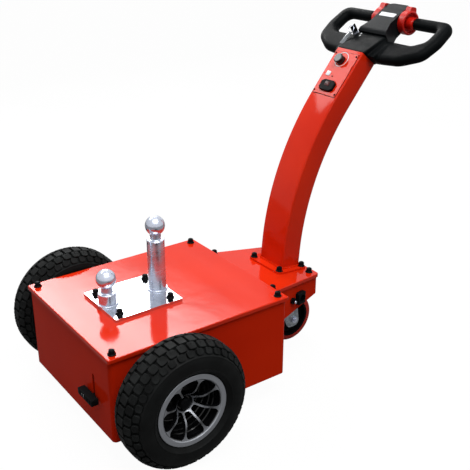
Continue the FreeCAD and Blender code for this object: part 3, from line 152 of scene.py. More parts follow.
class Shader(Nodes):
    """Node tree of one material."""

    def __init__(self, name: str) -> None:
        """Start a material with its Principled surface."""
        self.material = bpy.data.materials.new(name)
        self.material.use_nodes = True
        super().__init__(self.material.node_tree)
        self.surface = self.tree.nodes["Principled BSDF"]
        self.place = self.add("ShaderNodeTexCoord")["Object"]

    def set(self, **values: Any) -> None:
        """Set or drive inputs of the surface, by name with _ for a space."""
        for name, value in values.items():
            self.join(value, self.surface.inputs[name.replace("_", " ")])

    def moved(self, location: Sequence[float] = (0, 0, 0), scale: Sequence[float] = EVEN
              ) -> Socket:
        """Object coordinates, moved and scaled by a Mapping node."""
        return self.add("ShaderNodeMapping", {"Vector": self.place, "Location": location,
                                              "Scale": scale})["Vector"]

    def noise(self, scale: float, detail: float, stretch: Triple = EVEN,
              vector: Socket | None = None) -> Socket:
        """Noise between 0 and 1.

        Args:
            scale: Number of features in a metre.
            detail: Octaves of finer noise.
            stretch: Scale along each axis, near 0 to smear it along one.
            vector: Coordinates to read in place of the object's own.

        Returns:
            The noise factor.
        """
        return self.add("ShaderNodeTexNoise", {"Vector": vector or self.moved(scale=stretch),
                                               "Scale": scale, "Detail": detail})["Fac"]

    def blend(self, factor: Any, first: Any, second: Any) -> Socket:
        """Mix two colours."""
        return self.add("ShaderNodeMix", {0: factor, 6: first, 7: second}, data_type="RGBA")[2]

    def bump(self, height: Socket, strength: float, depth: float, under: Socket | None = None
             ) -> Socket:
        """Bump from a height, laid over another where one is given."""
        inputs = {"Height": height, "Strength": strength, "Distance": depth}
        if under is not None:
            inputs["Normal"] = under
        return self.add("ShaderNodeBump", inputs)["Normal"]


# ---- Finishes ----


@dataclass(frozen=True)
class Finish:
    """A named finish; each kind paints its own node tree."""

    name: str

    def paint(self, shader: Shader) -> None:
        """Build the node tree."""
        raise NotImplementedError

    def material(self) -> bpy.types.Material:
        """Return the material, made on first use."""
        known = bpy.data.materials.get(self.name)
        if known is None:
            shader = Shader(self.name)
            self.paint(shader)
            known = shader.material
        return known


@dataclass(frozen=True)
class Noise:
    """Noise cut to the range from low to high, and mapped from there to another range."""

    scale: float
    detail: float
    low: float
    high: float
    to_low: float = 0.0
    to_high: float = 1.0
    stretch: Triple = EVEN

    def read(self, shader: Shader) -> Socket:
        """Add the noise to a tree and return its value."""
        return shader.spread(shader.noise(self.scale, self.detail, self.stretch), self.low,
                             self.high, self.to_low, self.to_high)


@dataclass(frozen=True)
class Relief:
    """One layer of fine relief: noise, or the cells of a leather grain where detail is 0."""

    scale: float
    detail: float
    strength: float
    depth: float
    stretch: Triple = EVEN

    def lay(self, shader: Shader, under: Socket | None) -> Socket:
        """Add the layer to a tree, over the one before it, and return the bent normal."""
        if self.detail:
            height = shader.noise(self.scale, self.detail, self.stretch)
        else:
            height = shader.add("ShaderNodeTexVoronoi",
                                {"Vector": shader.place, "Scale": self.scale},
                                feature="SMOOTH_F1")["Distance"]
        return shader.bump(height, self.strength, self.depth, under)


@dataclass(frozen=True)
class Coat(Finish):
    """A surface with clouds of a second tone, uneven gloss and layers of fine relief."""

    colour: Colour
    second: Colour
    clouds: Noise
    gloss: Noise
    relief: tuple[Relief, ...]
    metal: float = 0.0
    shine: float = 0.5

    def paint(self, shader: Shader) -> None:
        """Build the node tree."""
        normal = None
        for layer in self.relief:
            normal = layer.lay(shader, normal)
        tone = shader.blend(self.clouds.read(shader), self.colour, self.second)
        shader.set(Base_Color=tone, Roughness=self.gloss.read(shader), Normal=normal,
                   Metallic=self.metal, Specular_IOR_Level=self.shine)


@dataclass(frozen=True)
class MachinedRim(Finish):
    """Cast rim: black lacquer in its hollows, and a turned silver face on ring and spokes."""

    hub: Triple
    silver: Colour = srgb(158, 161, 167)
    lacquer: Colour = srgb(12, 12, 14)
    profile: tuple[Pair, ...] = (
        (0.0, 0.0), (0.025, 0.015), (0.030, 0.022), (0.033, 0.027), (0.040, 0.035),
        (0.047, 0.039), (0.052, 0.041), (0.065, 0.044), (0.076, 0.046), (0.1, 0.046))
    stretch: float = 10.0
    groove_scale: float = 2600.0
    hub_edge: Pair = (0.0195, 0.0215)
    face_edge: Pair = (-0.022, -0.006)

    def paint(self, shader: Shader) -> None:
        """Build the node tree: silver where the surface lies near the profile of the face."""
        across, out, up = shader.add("ShaderNodeSeparateXYZ",
                                     {0: shader.moved([-place for place in self.hub])})
        radius = shader.sum("SQRT", shader.sum("ADD", shader.sum("MULTIPLY", across, across),
                                               shader.sum("MULTIPLY", up, up)))
        face = shader.add("ShaderNodeFloatCurve",
                          {"Value": shader.sum("MULTIPLY", radius, self.stretch)})[0]
        mapping = face.node.mapping
        points = mapping.curves[0].points
        places = [(at * self.stretch, height * self.stretch) for at, height in self.profile]
        points[0].location, points[-1].location = places[0], places[-1]
        for place in places[1:-1]:
            points.new(*place)
        mapping.update()
        depth = shader.sum("MULTIPLY", out, math.copysign(1.0, self.hub[1]))
        front = shader.sum("SUBTRACT", shader.sum("MULTIPLY", depth, self.stretch), face)
        turned = shader.sum("MULTIPLY", shader.spread(front, *self.face_edge),
                            shader.spread(radius, *self.hub_edge))
        grooves = shader.add("ShaderNodeCombineXYZ",
                             {0: shader.sum("MULTIPLY", radius, self.groove_scale)})[0]
        rings = shader.noise(1.0, 2.0, vector=grooves)
        shader.set(Base_Color=shader.blend(turned, self.lacquer, self.silver),
                   Metallic=shader.sum("MULTIPLY", turned, 0.7),
                   Roughness=shader.spread(shader.sum("MULTIPLY", turned, rings),
                                           0.0, 0.7, 0.24, 0.38),
                   Normal=shader.bump(rings, 0.15, 0.0001))


def brushed(name: str, colour: Colour, shade: Colour, rough: float,
            stretch: Triple = (0.04, 1.0, 1.0), streak: float = 900.0, depth: float = 0.00006,
            metal: float = 1.0) -> Coat:
    """Bare metal with fine streaks along one axis and faint smears."""
    return Coat(name, colour, shade, Noise(22.0, 4.0, 0.4, 0.7),
                Noise(60.0, 5.0, 0.3, 0.75, rough * 0.7, rough * 1.5, stretch),
                (Relief(streak, 4.0, 0.35, depth, stretch),), metal)


def grained(name: str, colour: Colour, dust: Colour = srgb(19, 22, 24), rough: float = 0.45,
            grain: float = 1100.0, depth: float = 0.00025, shine: float = 0.03) -> Coat:
    """Moulded plastic with a fine leather grain and a little dust in random clouds."""
    return Coat(name, colour, dust, Noise(18.0, 5.0, 0.45, 0.8, 0.0, 0.45),
                Noise(45.0, 4.0, 0.3, 0.7, rough - 0.06, rough + 0.08),
                (Relief(260.0, 3.0, 0.15, depth), Relief(grain, 0.0, 0.5, depth)), 0.0, shine)


def smooth(name: str, colour: Colour, deep: Colour, rough: float = 0.25) -> Coat:
    """Smooth moulded plastic with faint flow marks."""
    return Coat(name, colour, deep, Noise(30.0, 4.0, 0.35, 0.7, stretch=(1.0, 1.0, 0.4)),
                Noise(90.0, 3.0, 0.3, 0.7, rough, rough + 0.1),
                (Relief(800.0, 2.0, 0.15, 0.00015),), 0.0, 0.3)


def rubber(name: str, bloom: float, rough: float = 0.62) -> Coat:
    """Tyre rubber: near black, under a share of dusty bloom."""
    return Coat(name, srgb(14, 15, 15), srgb(36, 38, 38),
                Noise(26.0, 6.0, 0.42, 0.75, 0.0, bloom),
                Noise(50.0, 4.0, 0.3, 0.7, rough - 0.08, rough + 0.1),
                (Relief(1500.0, 3.0, 0.25, 0.0002), Relief(180.0, 4.0, 0.2, 0.0003)), 0.0, 0.08)


@dataclass(frozen=True)
class Dressing:
    """The finishes that the tug uses."""

    paint: Coat = Coat("paint_red_gloss", srgb(208, 38, 10), srgb(218, 44, 12),
                       Noise(4.0, 5.0, 0.35, 0.65),
                       Noise(30.0, 6.0, 0.3, 0.75, 0.07, 0.13, (1.0, 1.0, 0.25)),
                       (Relief(14.0, 2.0, 0.12, 0.004), Relief(420.0, 2.0, 0.06, 0.0004)),
                       shine=0.01)
    lid: Coat = replace(paint, name="paint_red_lid", shine=0.12,
                        gloss=replace(paint.gloss, stretch=(1.0, 0.06, 1.0)))
    plate: Coat = brushed("steel_polished_plate", srgb(222, 226, 231), srgb(186, 191, 199), 0.1)
    turned: Coat = brushed("steel_turned", srgb(204, 210, 226), srgb(168, 174, 188), 0.24,
                           (0.02, 0.02, 1.0), 1500.0, 0.00008, 0.85)
    zinc: Coat = Coat("steel_zinc_plated", srgb(140, 149, 157), srgb(178, 187, 193),
                      Noise(140.0, 4.0, 0.38, 0.62), Noise(70.0, 5.0, 0.3, 0.7, 0.2, 0.42),
                      (Relief(600.0, 3.0, 0.2, 0.0001),), 0.6)
    moulding: Coat = grained("plastic_black_grained", srgb(6, 8, 9))
    housing: Coat = grained("plastic_black_housing", srgb(18, 20, 22), srgb(32, 35, 37), 0.36,
                            1500.0, 0.00015, 0.05)
    cap: Coat = grained("plastic_black_caps", srgb(16, 16, 18), rough=0.34, grain=2400.0,
                        depth=0.0001)
    pedal: Coat = grained("rubber_pedal", srgb(19, 19, 20), rough=0.5, grain=700.0)
    casting: Coat = grained("iron_drive_casting", srgb(92, 95, 98), srgb(120, 122, 124),
                            grain=300.0, depth=0.0006)
    battery: Coat = grained("plastic_battery_case", srgb(52, 54, 58))
    tread: Coat = rubber("rubber_tread", 0.8)
    wall: Coat = rubber("rubber_sidewall", 0.3, 0.5)
    levers: Coat = smooth("plastic_red_levers", srgb(205, 28, 14), srgb(170, 18, 9))
    knob: Coat = smooth("plastic_black_knob", srgb(20, 20, 22), srgb(9, 9, 10), 0.12)
    caster_tread: Coat = smooth("urethane_red", srgb(196, 44, 30), srgb(168, 30, 20), 0.34)
    label: Coat = smooth("label_white", srgb(226, 228, 230), srgb(208, 211, 214), 0.4)
    seam: Coat = smooth("seam_dark", srgb(74, 12, 8), srgb(52, 8, 6), 0.5)
    display: Coat = smooth("display_red", srgb(84, 16, 18), srgb(48, 8, 10), 0.15)
    tag: Coat = smooth("tag_clear_grey", srgb(126, 130, 134), srgb(70, 74, 78), 0.12)


FINISHES = Dressing()


# ---- Meshes ----


def linked(name: str, data: Any) -> bpy.types.Object:
    """New object in the scene, at the origin."""
    thing = bpy.data.objects.new(name, data)
    bpy.context.scene.collection.objects.link(thing)
    return thing


def mesh_from(shell: Shell, name: str, place: Matrix | None = None, outward: bool = True
              ) -> bpy.types.Mesh:
    """Turn a working mesh into mesh data.

    Args:
        shell: The working mesh, which is used up.
        name: Name of the mesh data.
        place: Pose that it is moved to.
        outward: Whether to turn its faces outwards.

    Returns:
        The mesh data, with doubled points merged.
    """
    bmesh.ops.remove_doubles(shell, verts=shell.verts, dist=MERGE)
    if outward:
        bmesh.ops.recalc_face_normals(shell, faces=shell.faces)
    if place is not None:
        bmesh.ops.transform(shell, matrix=place, verts=shell.verts)
    mesh = bpy.data.meshes.new(name)
    shell.to_mesh(mesh)
    shell.free()
    return mesh


def modified(mesh: bpy.types.Mesh, name: str, *steps: tuple[str, dict[str, Any]]
             ) -> bpy.types.Mesh:
    """Run a mesh through modifiers and keep the result.

    Args:
        mesh: The mesh to start from.
        name: Name of the result.
        steps: Modifiers in order: the type, with its settings or the inputs of its tree.

    Returns:
        The new mesh data.
    """
    carrier = linked(f"{name}_host", mesh)
    for kind, settings in steps:
        modifier = carrier.modifiers.new(kind.lower(), kind)
        for setting, value in settings.items():
            if hasattr(modifier, setting):
                setattr(modifier, setting, value)
            else:
                modifier[setting] = value
    depsgraph = bpy.context.evaluated_depsgraph_get()
    result = bpy.data.meshes.new_from_object(carrier.evaluated_get(depsgraph))
    result.name = name
    carrier.modifiers.clear()
    bpy.data.objects.remove(carrier)
    return result


def skinned(rows: Sequence[Sequence[Sequence[float]]], closed: bool = False) -> Shell:
    """Lay faces between rings of points, with flat ends unless the rings run round.

    Args:
        rows: Rings with the same number of points; a ring of one point repeated is a pole.
        closed: Whether the last ring joins the first.

    Returns:
        The shell.
    """
    shell = bmesh.new()
    rings = []
    for row in rows:
        made = {point: shell.verts.new(point) for point in dict.fromkeys(map(tuple, row))}
        rings.append([made[tuple(point)] for point in row])
    for low, high in zip(rings, rings[1:] + rings[:1] if closed else rings[1:]):
        for spot, corner in enumerate(low):
            after = (spot + 1) % len(low)
            face = dict.fromkeys((corner, low[after], high[after], high[spot]))
            if len(face) > 2:
                shell.faces.new(face)
    for ring in () if closed else (rings[0], rings[-1]):
        if len(set(ring)) > 2:
            shell.faces.new(dict.fromkeys(ring))
    return shell


def around(count: int, phase: float = 0.0) -> list[float]:
    """Angles of equal steps of a full turn."""
    return [math.tau * (step + phase) / count for step in range(count)]


def lathe(profile: Sequence[Pair], steps: int, closed: bool = False) -> Shell:
    """Turn a profile round the Z axis.

    Args:
        profile: Points (radius, height); a radius of zero makes a pole.
        steps: Number of facets round the axis.
        closed: Whether the profile runs back to its first point.

    Returns:
        The turned shell.
    """
    return skinned([[(0.0, 0.0, height)] * steps if radius < POLE else
                    [(radius * math.cos(angle), radius * math.sin(angle), height)
                     for angle in around(steps)] for radius, height in profile], closed)


def hoop(path: Sequence[Vector], radius: float, sides: int) -> Shell:
    """Run a round section along a closed path.

    Args:
        path: Points of the path.
        radius: Radius of the section.
        sides: Number of facets round it.

    Returns:
        The closed shell.
    """
    rows = []
    across = None
    for spot, point in enumerate(path):
        along = (path[(spot + 1) % len(path)] - path[spot - 1]).normalized()
        across = along.orthogonal() if across is None else across
        across = (across - along * across.dot(along)).normalized()
        other = along.cross(across)
        rows.append([point + radius * (math.cos(angle) * across + math.sin(angle) * other)
                     for angle in around(sides)])
    return skinned(rows, True)


def rounded_outline(length: float, width: float, radius: float, steps: int = 4) -> list[Pair]:
    """Points of a rectangle with rounded corners.

    Args:
        length: Size along X.
        width: Size along Y.
        radius: Radius of the corners.
        steps: Facets in each corner.

    Returns:
        The points, with the middle at the origin.
    """
    points = []
    for corner, (side_x, side_y) in enumerate(((1, 1), (-1, 1), (-1, -1), (1, -1))):
        for step in range(steps + 1):
            angle = math.pi / 2 * (corner + step / steps)
            points.append((side_x * (length / 2 - radius) + radius * math.cos(angle),
                           side_y * (width / 2 - radius) + radius * math.sin(angle)))
    return points


def slab(outline: Sequence[Pair], low: float, high: float, edge: float) -> Shell:
    """Flat piece of a given outline whose upper edge is broken.

    Args:
        outline: Points of the outline in the XY plane, round the origin.
        low: Height of the underside.
        high: Height of the top.
        edge: How far the upper edge is cut back.

    Returns:
        The closed shell.
    """
    reach = max(math.hypot(*point) for point in outline)
    rows = [[(x * (1 - cut / reach), y * (1 - cut / reach), height) for x, y in outline]
            for height, cut in ((low, 0.0), (high - edge, 0.0),
                                (high - edge * 0.3, edge * 0.3), (high, edge))]
    return skinned(rows)


# ---- Geometry Nodes ----


class CopyTree(Nodes):
    """Tree that copies one shape over a host mesh and makes the copies real."""

    def __init__(self, name: str, *inputs: tuple[str, str]) -> None:
        """Start the tree with its sockets: host, shape and any others it needs."""
        super().__init__(bpy.data.node_groups.new(name, "GeometryNodeTree"))
        face = self.tree.interface
        self.names = {label: face.new_socket(label, in_out="INPUT",
                                             socket_type=f"NodeSocket{kind}").identifier
                      for label, kind in (("Host", "Geometry"), ("Shape", "Object"), *inputs)}
        face.new_socket("Copies", in_out="OUTPUT", socket_type="NodeSocketGeometry")
        self.given = self.tree.nodes.new("NodeGroupInput").outputs

    def end(self, points: Socket, turn: Socket, size: Any = EVEN) -> None:
        """Put the shape at each point with its turn and size, and make the copies real."""
        shape = self.add("GeometryNodeObjectInfo", {"Object": self.given["Shape"],
                                                    "As Instance": True})
        copies = self.add("GeometryNodeInstanceOnPoints",
                          {"Points": points, "Instance": shape["Geometry"], "Rotation": turn,
                           "Scale": size})
        real = self.add("GeometryNodeRealizeInstances", {"Geometry": copies[0]})
        self.join(real[0], self.tree.nodes.new("NodeGroupOutput").inputs[0])

    def grow(self, piece: "Piece", host: bpy.types.Mesh, shell: Shell, **values: float) -> None:
        """Make a piece of copies of a shell.

        Args:
            piece: The piece.
            host: Mesh over which the copies are set out.
            shell: Working mesh of one copy.
            values: Other inputs of the tree.
        """
        shape = linked(f"{piece.name}_shape", mesh_from(shell, f"{piece.name}_shape"))
        inputs = {self.names[label]: value for label, value in values.items()}
        mesh = modified(host, piece.name, ("NODES", {"node_group": self.tree,
                                                     self.names["Shape"]: shape, **inputs}))
        bpy.data.objects.remove(shape)
        piece.mount(mesh)


class PosedCopies(CopyTree):
    """Tree that copies a shape to the host's points, each turned by its own "pose"."""

    def __init__(self) -> None:
        """Build the tree."""
        super().__init__("copies_at_points")
        points = self.add("GeometryNodeMeshToPoints", {"Mesh": self.given["Host"]})
        pose = self.add("GeometryNodeInputNamedAttribute", {"Name": "pose"},
                        data_type="QUATERNION")
        self.end(points[0], pose["Attribute"])

    def scatter(self, piece: "Piece", shell: Shell, poses: Sequence[Matrix]) -> None:
        """Make a piece of copies of a shell at poses."""
        host = bpy.data.meshes.new(piece.name)
        host.from_pydata([pose.to_translation() for pose in poses], [], [])
        turns = host.attributes.new("pose", "QUATERNION", "POINT")
        for turn, pose in zip(turns.data, poses):
            turn.value = pose.to_quaternion()
        self.grow(piece, host, shell)


class WeldBead(CopyTree):
    """Tree that lays overlapping scales of random size along the host's edges."""

    def __init__(self) -> None:
        """Build the tree."""
        super().__init__("weld_bead", ("Spacing", "Float"), ("Seed", "Int"))
        line = self.add("GeometryNodeMeshToCurve", {"Mesh": self.given["Host"]})
        even = self.add("GeometryNodeResampleCurve",
                        {"Curve": line[0], "Length": self.given["Spacing"]}, mode="LENGTH")
        tangent = self.add("GeometryNodeInputTangent")
        facing = self.add("FunctionNodeAlignRotationToVector", {"Vector": tangent[0]}, axis="X")
        size = self.add("FunctionNodeRandomValue",
                        {2: 0.86, 3: 1.12, "Seed": self.given["Seed"]}, data_type="FLOAT")
        self.end(even[0], facing[0], size[1])


# ---- Pieces ----


@dataclass(frozen=True)
class Piece:
    """A new piece: its name, its look, the node it stands for and the body it rides on.

    Edges past the angle sharp, in degrees, stay sharp; None leaves the shading of its mesh.
    """

    name: str
    finish: Finish
    slot: Slot
    stands_for: str = ""
    body: str = CHASSIS
    sharp: float | None = 40.0

    def mount(self, mesh: bpy.types.Mesh) -> bpy.types.Object:
        """Dress the piece's mesh, put it in the scene and mount it."""
        mesh.materials.clear()
        mesh.materials.append(self.finish.material())
        if self.sharp is not None:
            mesh.shade_smooth()
            mesh.set_sharp_from_angle(angle=math.radians(self.sharp))
        piece = linked(self.name, mesh)
        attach(piece, self.body)
        if self.stands_for:
            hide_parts(self.stands_for)
        LOG.info("made %s: %d faces, rides on %s", self.name, len(mesh.polygons), self.body)
        return piece

    def make(self, shell: Shell, place: Matrix | None = None) -> None:
        """Build the piece from a working mesh, moved to a pose."""
        self.mount(mesh_from(shell, self.name, place))


def dress(finish: Finish, *nodes: str) -> None:
    """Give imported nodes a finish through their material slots."""
    for name in nodes:
        node = bpy.data.objects[name]
        if not node.material_slots:
            node.data.materials.append(finish.material())
        for slot in node.material_slots:
            slot.material = finish.material()
        LOG.info("dressed %s in %s", name, finish.name)


def reshape(piece: Piece, *steps: tuple[str, dict[str, Any]]) -> bpy.types.Object:
    """Make a piece by running a merged copy of the node it stands for through modifiers.

    Args:
        piece: The piece.
        steps: Modifiers in order: the type and its settings.

    Returns:
        The mounted piece.
    """
    source = bpy.data.objects[piece.stands_for]
    shell = bmesh.new()
    shell.from_mesh(source.data)
    bmesh.ops.transform(shell, matrix=source.matrix_world, verts=shell.verts)
    bmesh.ops.remove_doubles(shell, verts=shell.verts, dist=PACKED_MERGE)
    bmesh.ops.dissolve_limit(shell, angle_limit=math.radians(1.0), verts=shell.verts,
                             edges=shell.edges)
    mesh = mesh_from(shell, piece.name)
    mesh.shade_smooth()
    return piece.mount(modified(mesh, piece.name, *steps))


def soften(node: str, name: str, width: float, finish: Finish, slot: Slot = Slot.RED_PAINT
           ) -> None:
    """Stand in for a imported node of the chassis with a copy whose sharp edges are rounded.

    Args:
        node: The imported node.
        name: Name of the copy.
        width: Width of the rounding.
        finish: Its finish.
        slot: Its material slot.
    """
    bevel = {"width": width, "segments": 3, "limit_method": "ANGLE",
             "angle_limit": math.radians(32.0), "use_clamp_overlap": True}
    reshape(Piece(name, finish, slot, node, sharp=None), ("BEVEL", bevel),
            ("WEIGHTED_NORMAL", {"weight": 100}))


# ---- Body ----


def corners(along: float, across: float) -> list[Pair]:
    """Corners of a rectangle round the origin, from half its sizes."""
    return [(x * along, y * across) for x in (-1, 1) for y in (-1, 1)]


@dataclass
class CapBolts:
    """Bolts under domed plastic caps with a skirt, one size throughout the tug."""

    copies: PosedCopies
    skirt: float = 0.0102
    collar: float = 0.0078
    height: float = 0.0135
    facets: int = 20

    def set_out(self, name: str, poses: Sequence[Matrix]) -> None:
        """Put a cap at each pose on the chassis, as one piece."""
        skirt, collar, top = self.skirt, self.collar, self.height
        cap = lathe(((0, 0), (skirt, 0), (skirt, 0.0016), (skirt - 0.0008, 0.0026),
                     (collar + 0.0006, 0.0031), (collar, 0.0038), (collar - 0.0002, top - 0.0034),
                     (collar - 0.0010, top - 0.0016), (collar - 0.0030, top - 0.0004),
                     (0.0022, top), (0, top)), self.facets)
        self.copies.scatter(Piece(name, FINISHES.cap, Slot.BLACK_STEEL, sharp=35.0), cap, poses)

    def level(self, name: str, middle: Vector, spots: Sequence[Pair]) -> None:
        """Put caps on a level face, at places round its middle."""
        self.set_out(name, [Matrix.Translation(middle + Vector((*spot, 0.0)))
                            for spot in spots])


def top_of(node: str) -> tuple[Vector, Vector]:
    """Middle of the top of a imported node, and its size."""
    low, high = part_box(node)
    return Vector(((low.x + high.x) / 2, (low.y + high.y) / 2, high.z)), high - low


@dataclass
class Pedal:
    """Rubber pad of the brake pedal: a rounded block with upright ribs and two pale marks."""

    copies: PosedCopies
    recess: float = 0.0012
    sunk: float = 0.0004
    spaces: int = 9
    ribs: Sequence[float] = (-3, -2, -1, 0, 1, 2, 3)
    marks: Sequence[float] = (-1.5, -0.5)
    lean: float = math.radians(14)

    def build(self) -> None:
        """Build block, ribs and marks."""
        low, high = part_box("brake_pedal")
        size, middle = high - low, (low + high) / 2
        turn = Matrix(((0, 0, 1), (1, 0, 0), (0, 1, 0))).to_4x4()
        block = slab(rounded_outline(size.y, size.z, 0.003), -size.x / 2,
                     size.x / 2 - self.recess, 0.0016)
        Piece("pedal_block", FINISHES.pedal, Slot.PEDAL_RUBBER, "brake_pedal").make(
            block, Matrix.Translation(middle) @ turn)
        front = Vector((high.x - self.recess - self.sunk, middle.y, middle.z))
        pitch = size.y / self.spaces
        rib = slab(rounded_outline(pitch * 0.45, size.z - 0.004, 0.0008, 2), 0.0,
                   self.recess + self.sunk, 0.0004)
        mark = slab(rounded_outline(0.0018, size.z - 0.008, 0.0006, 2), 0.0, 0.0008, 0.0002)
        for name, shell, spots, lean, finish in (
                ("pedal_ribs", rib, self.ribs, 0.0, FINISHES.pedal),
                ("pedal_marks", mark, self.marks, self.lean, FINISHES.label)):
            poses = [Matrix.Translation(front + Vector((0, pitch * spot, 0))) @ turn
                     @ Matrix.Rotation(lean, 4, "Z") for spot in spots]
            self.copies.scatter(Piece(name, finish, Slot.PEDAL_RUBBER, sharp=35.0), shell, poses)


@dataclass
class Chassis:
    """Sheet metal body: box, covers, tongue and what is bolted to them."""

    bolts: CapBolts
    inset: float = 0.0207
    slope: float = math.radians(4.8)
    fall: float = 0.0195
    lid_bolts: tuple[Pair, ...] = ((0.0205, 0.135), (0.1850, 0.092))
    base_back: float = 0.146
    base_bolts: Pair = (0.040, 0.057)
    base_top: float = 0.005

    def __post_init__(self) -> None:
        """Read the box's rear face and the height of the tongue from the frame."""
        self.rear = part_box("chassis_box")[0].x
        self.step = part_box("main_cover")[1].z - self.fall

    def build(self) -> None:
        """Dress the nodes and add bolts, pedal pad and button."""
        dress(FINISHES.paint, "tongue_walls", "tongue_belly", "axle_tube_left",
              "axle_tube_right", "caster_mount")
        soften("chassis_box", "box_shell", 0.0012, FINISHES.paint)
        soften("main_cover", "cover_shell", 0.0022, FINISHES.lid)
        soften("tongue_cover", "tongue_lid", 0.0018, FINISHES.lid)
        soften("tiller_base_plate", "base_plate", 0.0012, FINISHES.paint)
        dress(FINISHES.casting, "drive_unit")
        dress(FINISHES.battery, "battery_pack")
        dress(FINISHES.cap, "charge_socket", "circuit_breaker", "pedal_arm", "pedal_bracket")
        middle, size = top_of("main_cover")
        self.bolts.level("cover_bolts", middle,
                         corners(size.x / 2 - self.inset, size.y / 2 - self.inset))
        self.bolts.set_out("tongue_bolts", [self.tongue_top(back, side * across)
                                            for back, across in self.lid_bolts
                                            for side in (-1, 1)])
        self.bolts.set_out("base_plate_bolts",
                           [self.tongue_top(self.base_back + back, across, self.base_top)
                            for back, across in corners(*self.base_bolts)])
        Pedal(self.bolts.copies).build()
        self.breaker_tip()

    def tongue_top(self, back: float, across: float, lift: float = 0.0) -> Matrix:
        """Pose on the sloping tongue cover.

        Args:
            back: Distance behind the box along the slope.
            across: Place across the tug.
            lift: Height above the cover.

        Returns:
            The pose, with its Z axis square to the cover.
        """
        top = Vector((self.rear, 0.0, self.step))
        turn = Matrix.Rotation(-self.slope, 4, "Y")
        return Matrix.Translation(top) @ turn @ Matrix.Translation((-back, across, lift))

    def breaker_tip(self) -> None:
        """Bright button at the end of the circuit breaker."""
        low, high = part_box("circuit_breaker")
        end = Vector(((low.x + high.x) / 2, high.y - 0.0005, (low.z + high.z) / 2))
        shell = lathe(((0, 0), (0.0040, 0), (0.0040, 0.0016), (0.0034, 0.0024), (0, 0.0026)), 24)
        Piece("breaker_button", FINISHES.turned, Slot.BRIGHT_METAL).make(
            shell, Matrix.Translation(end) @ Matrix.Rotation(-math.pi / 2, 4, "X"))


@dataclass
class Coupling:
    """Coupling plate with its two tow balls."""

    bolts: CapBolts
    along: float = 0.143
    across: float = 0.126

    def build(self) -> None:
        """Dress plate and posts, and add caps."""
        soften("coupling_plate", "plate_top", 0.0012, FINISHES.plate, Slot.ZINC_STEEL)
        dress(FINISHES.turned, "short_ball_post", "tall_ball_post")
        middle, _ = top_of("coupling_plate")
        middle.y = 0.0
        self.bolts.level("plate_bolts", middle, corners(self.along / 2, self.across / 2))


# ---- Wheels ----


@dataclass
class TyreShape:
    """Outer line of the drive tyre, and lugs mapped onto it."""

    radius: float = 0.1615
    half: float = 0.0545
    round: float = 0.043
    bead: float = 0.078
    seat: float = 0.042
    groove: float = 0.0065
    root: float = 0.002
    flare: float = 0.0006
    sides: Sequence[float] = (0, 10, 20, 30, 40, 50, 56, 60, 63, 64.5, 66, 67.5, 70, 76, 82, 90)
    wall: tuple[Pair, ...] = (
        (0.1130, 0.0545), (0.1085, 0.0543), (0.1060, 0.0538), (0.1052, 0.0545),
        (0.1035, 0.0545), (0.1027, 0.0530), (0.0990, 0.0505), (0.0965, 0.0478),
        (0.0935, 0.0455), (0.0915, 0.0440))

    def point(self, along: float, height: float) -> Pair:
        """Point over the tread.

        Args:
            along: Distance from the crown's middle, measured round the section.
            height: Height over the outer line.

        Returns:
            Radius from the axle, and distance from the wheel's centre plane.
        """
        flat = self.half - self.round
        angle = max(0.0, abs(along) - flat) / self.round
        reach = self.round + height
        return (self.radius - self.round + reach * math.cos(angle),
                math.copysign(1, along) * (min(abs(along), flat) + reach * math.sin(angle)))

    def lug(self, along: float, wide: float, long: float, corner: float, sipe: float) -> Shell:
        """One tread block, bent to the tyre.

        Args:
            along: Its middle, measured round the section from the crown.
            wide: Its size round the section.
            long: Its size round the wheel.
            corner: Radius of its corners.
            sipe: Depth of the slit from its inner edge, or 0.

        Returns:
            The closed block, at the top of the wheel.
        """
        facets = 3
        outline = rounded_outline(long, wide, corner, facets)
        if sipe:
            inner = -math.copysign(1, along) * wide / 2
            deep = inner * (1 - sipe / abs(inner))
            slit = [(0.0007, inner), (0.0005, deep), (-0.0005, deep), (-0.0007, inner)]
            spot = (facets + 1) * (1 if inner > 0 else 3)
            outline[spot:spot] = slit if inner > 0 else slit[::-1]
        rows = []
        for height, inset in ((-self.groove - self.root, -self.flare), (-0.0010, 0.0),
                              (0.0, 0.0008)):
            row = []
            for x, s in outline:
                reach, out = self.point(along + s * max(0.0, 1 - inset / (wide / 2)), height)
                angle = x * max(0.0, 1 - inset / (long / 2)) / self.radius
                row.append((reach * math.sin(angle), out, reach * math.cos(angle)))
            rows.append(row)
        shell = skinned(rows)
        bmesh.ops.triangulate(shell, faces=[f for f in shell.faces if len(f.verts) > 4])
        return shell

    def carcass(self) -> list[Pair]:
        """Closed line of the tyre's body: grooved under the tread, ridged on the sidewalls."""
        upper = []
        for angle in self.sides:
            depth = self.groove * min(1.0, max(0.0, (63 - angle) / 10))
            ridge = 0.0007 if 64 < angle < 67 else 0.0
            along = self.half - self.round + self.round * math.radians(angle)
            upper.append(self.point(along, ridge - depth))
        upper += [*self.wall, (self.wall[-1][0], self.seat), (self.bead, self.seat)]
        return upper + [(radius, -out) for radius, out in reversed(upper)]


class Lug(Enum):
    """Rows of tread: place, width, length, corner and sipe of a lug, and shift of the row."""

    CROWN = (0.0, 0.0255, 0.0205, 0.0025, 0.0, 0.0)
    INNER_A = (0.0262, 0.0215, 0.0205, 0.0050, 0.0075, 0.5)
    INNER_B = (-0.0262, 0.0215, 0.0205, 0.0050, 0.0075, 0.5)
    OUTER_A = (0.0468, 0.0165, 0.0190, 0.0055, 0.0060, 0.0)
    OUTER_B = (-0.0468, 0.0165, 0.0190, 0.0055, 0.0060, 0.0)


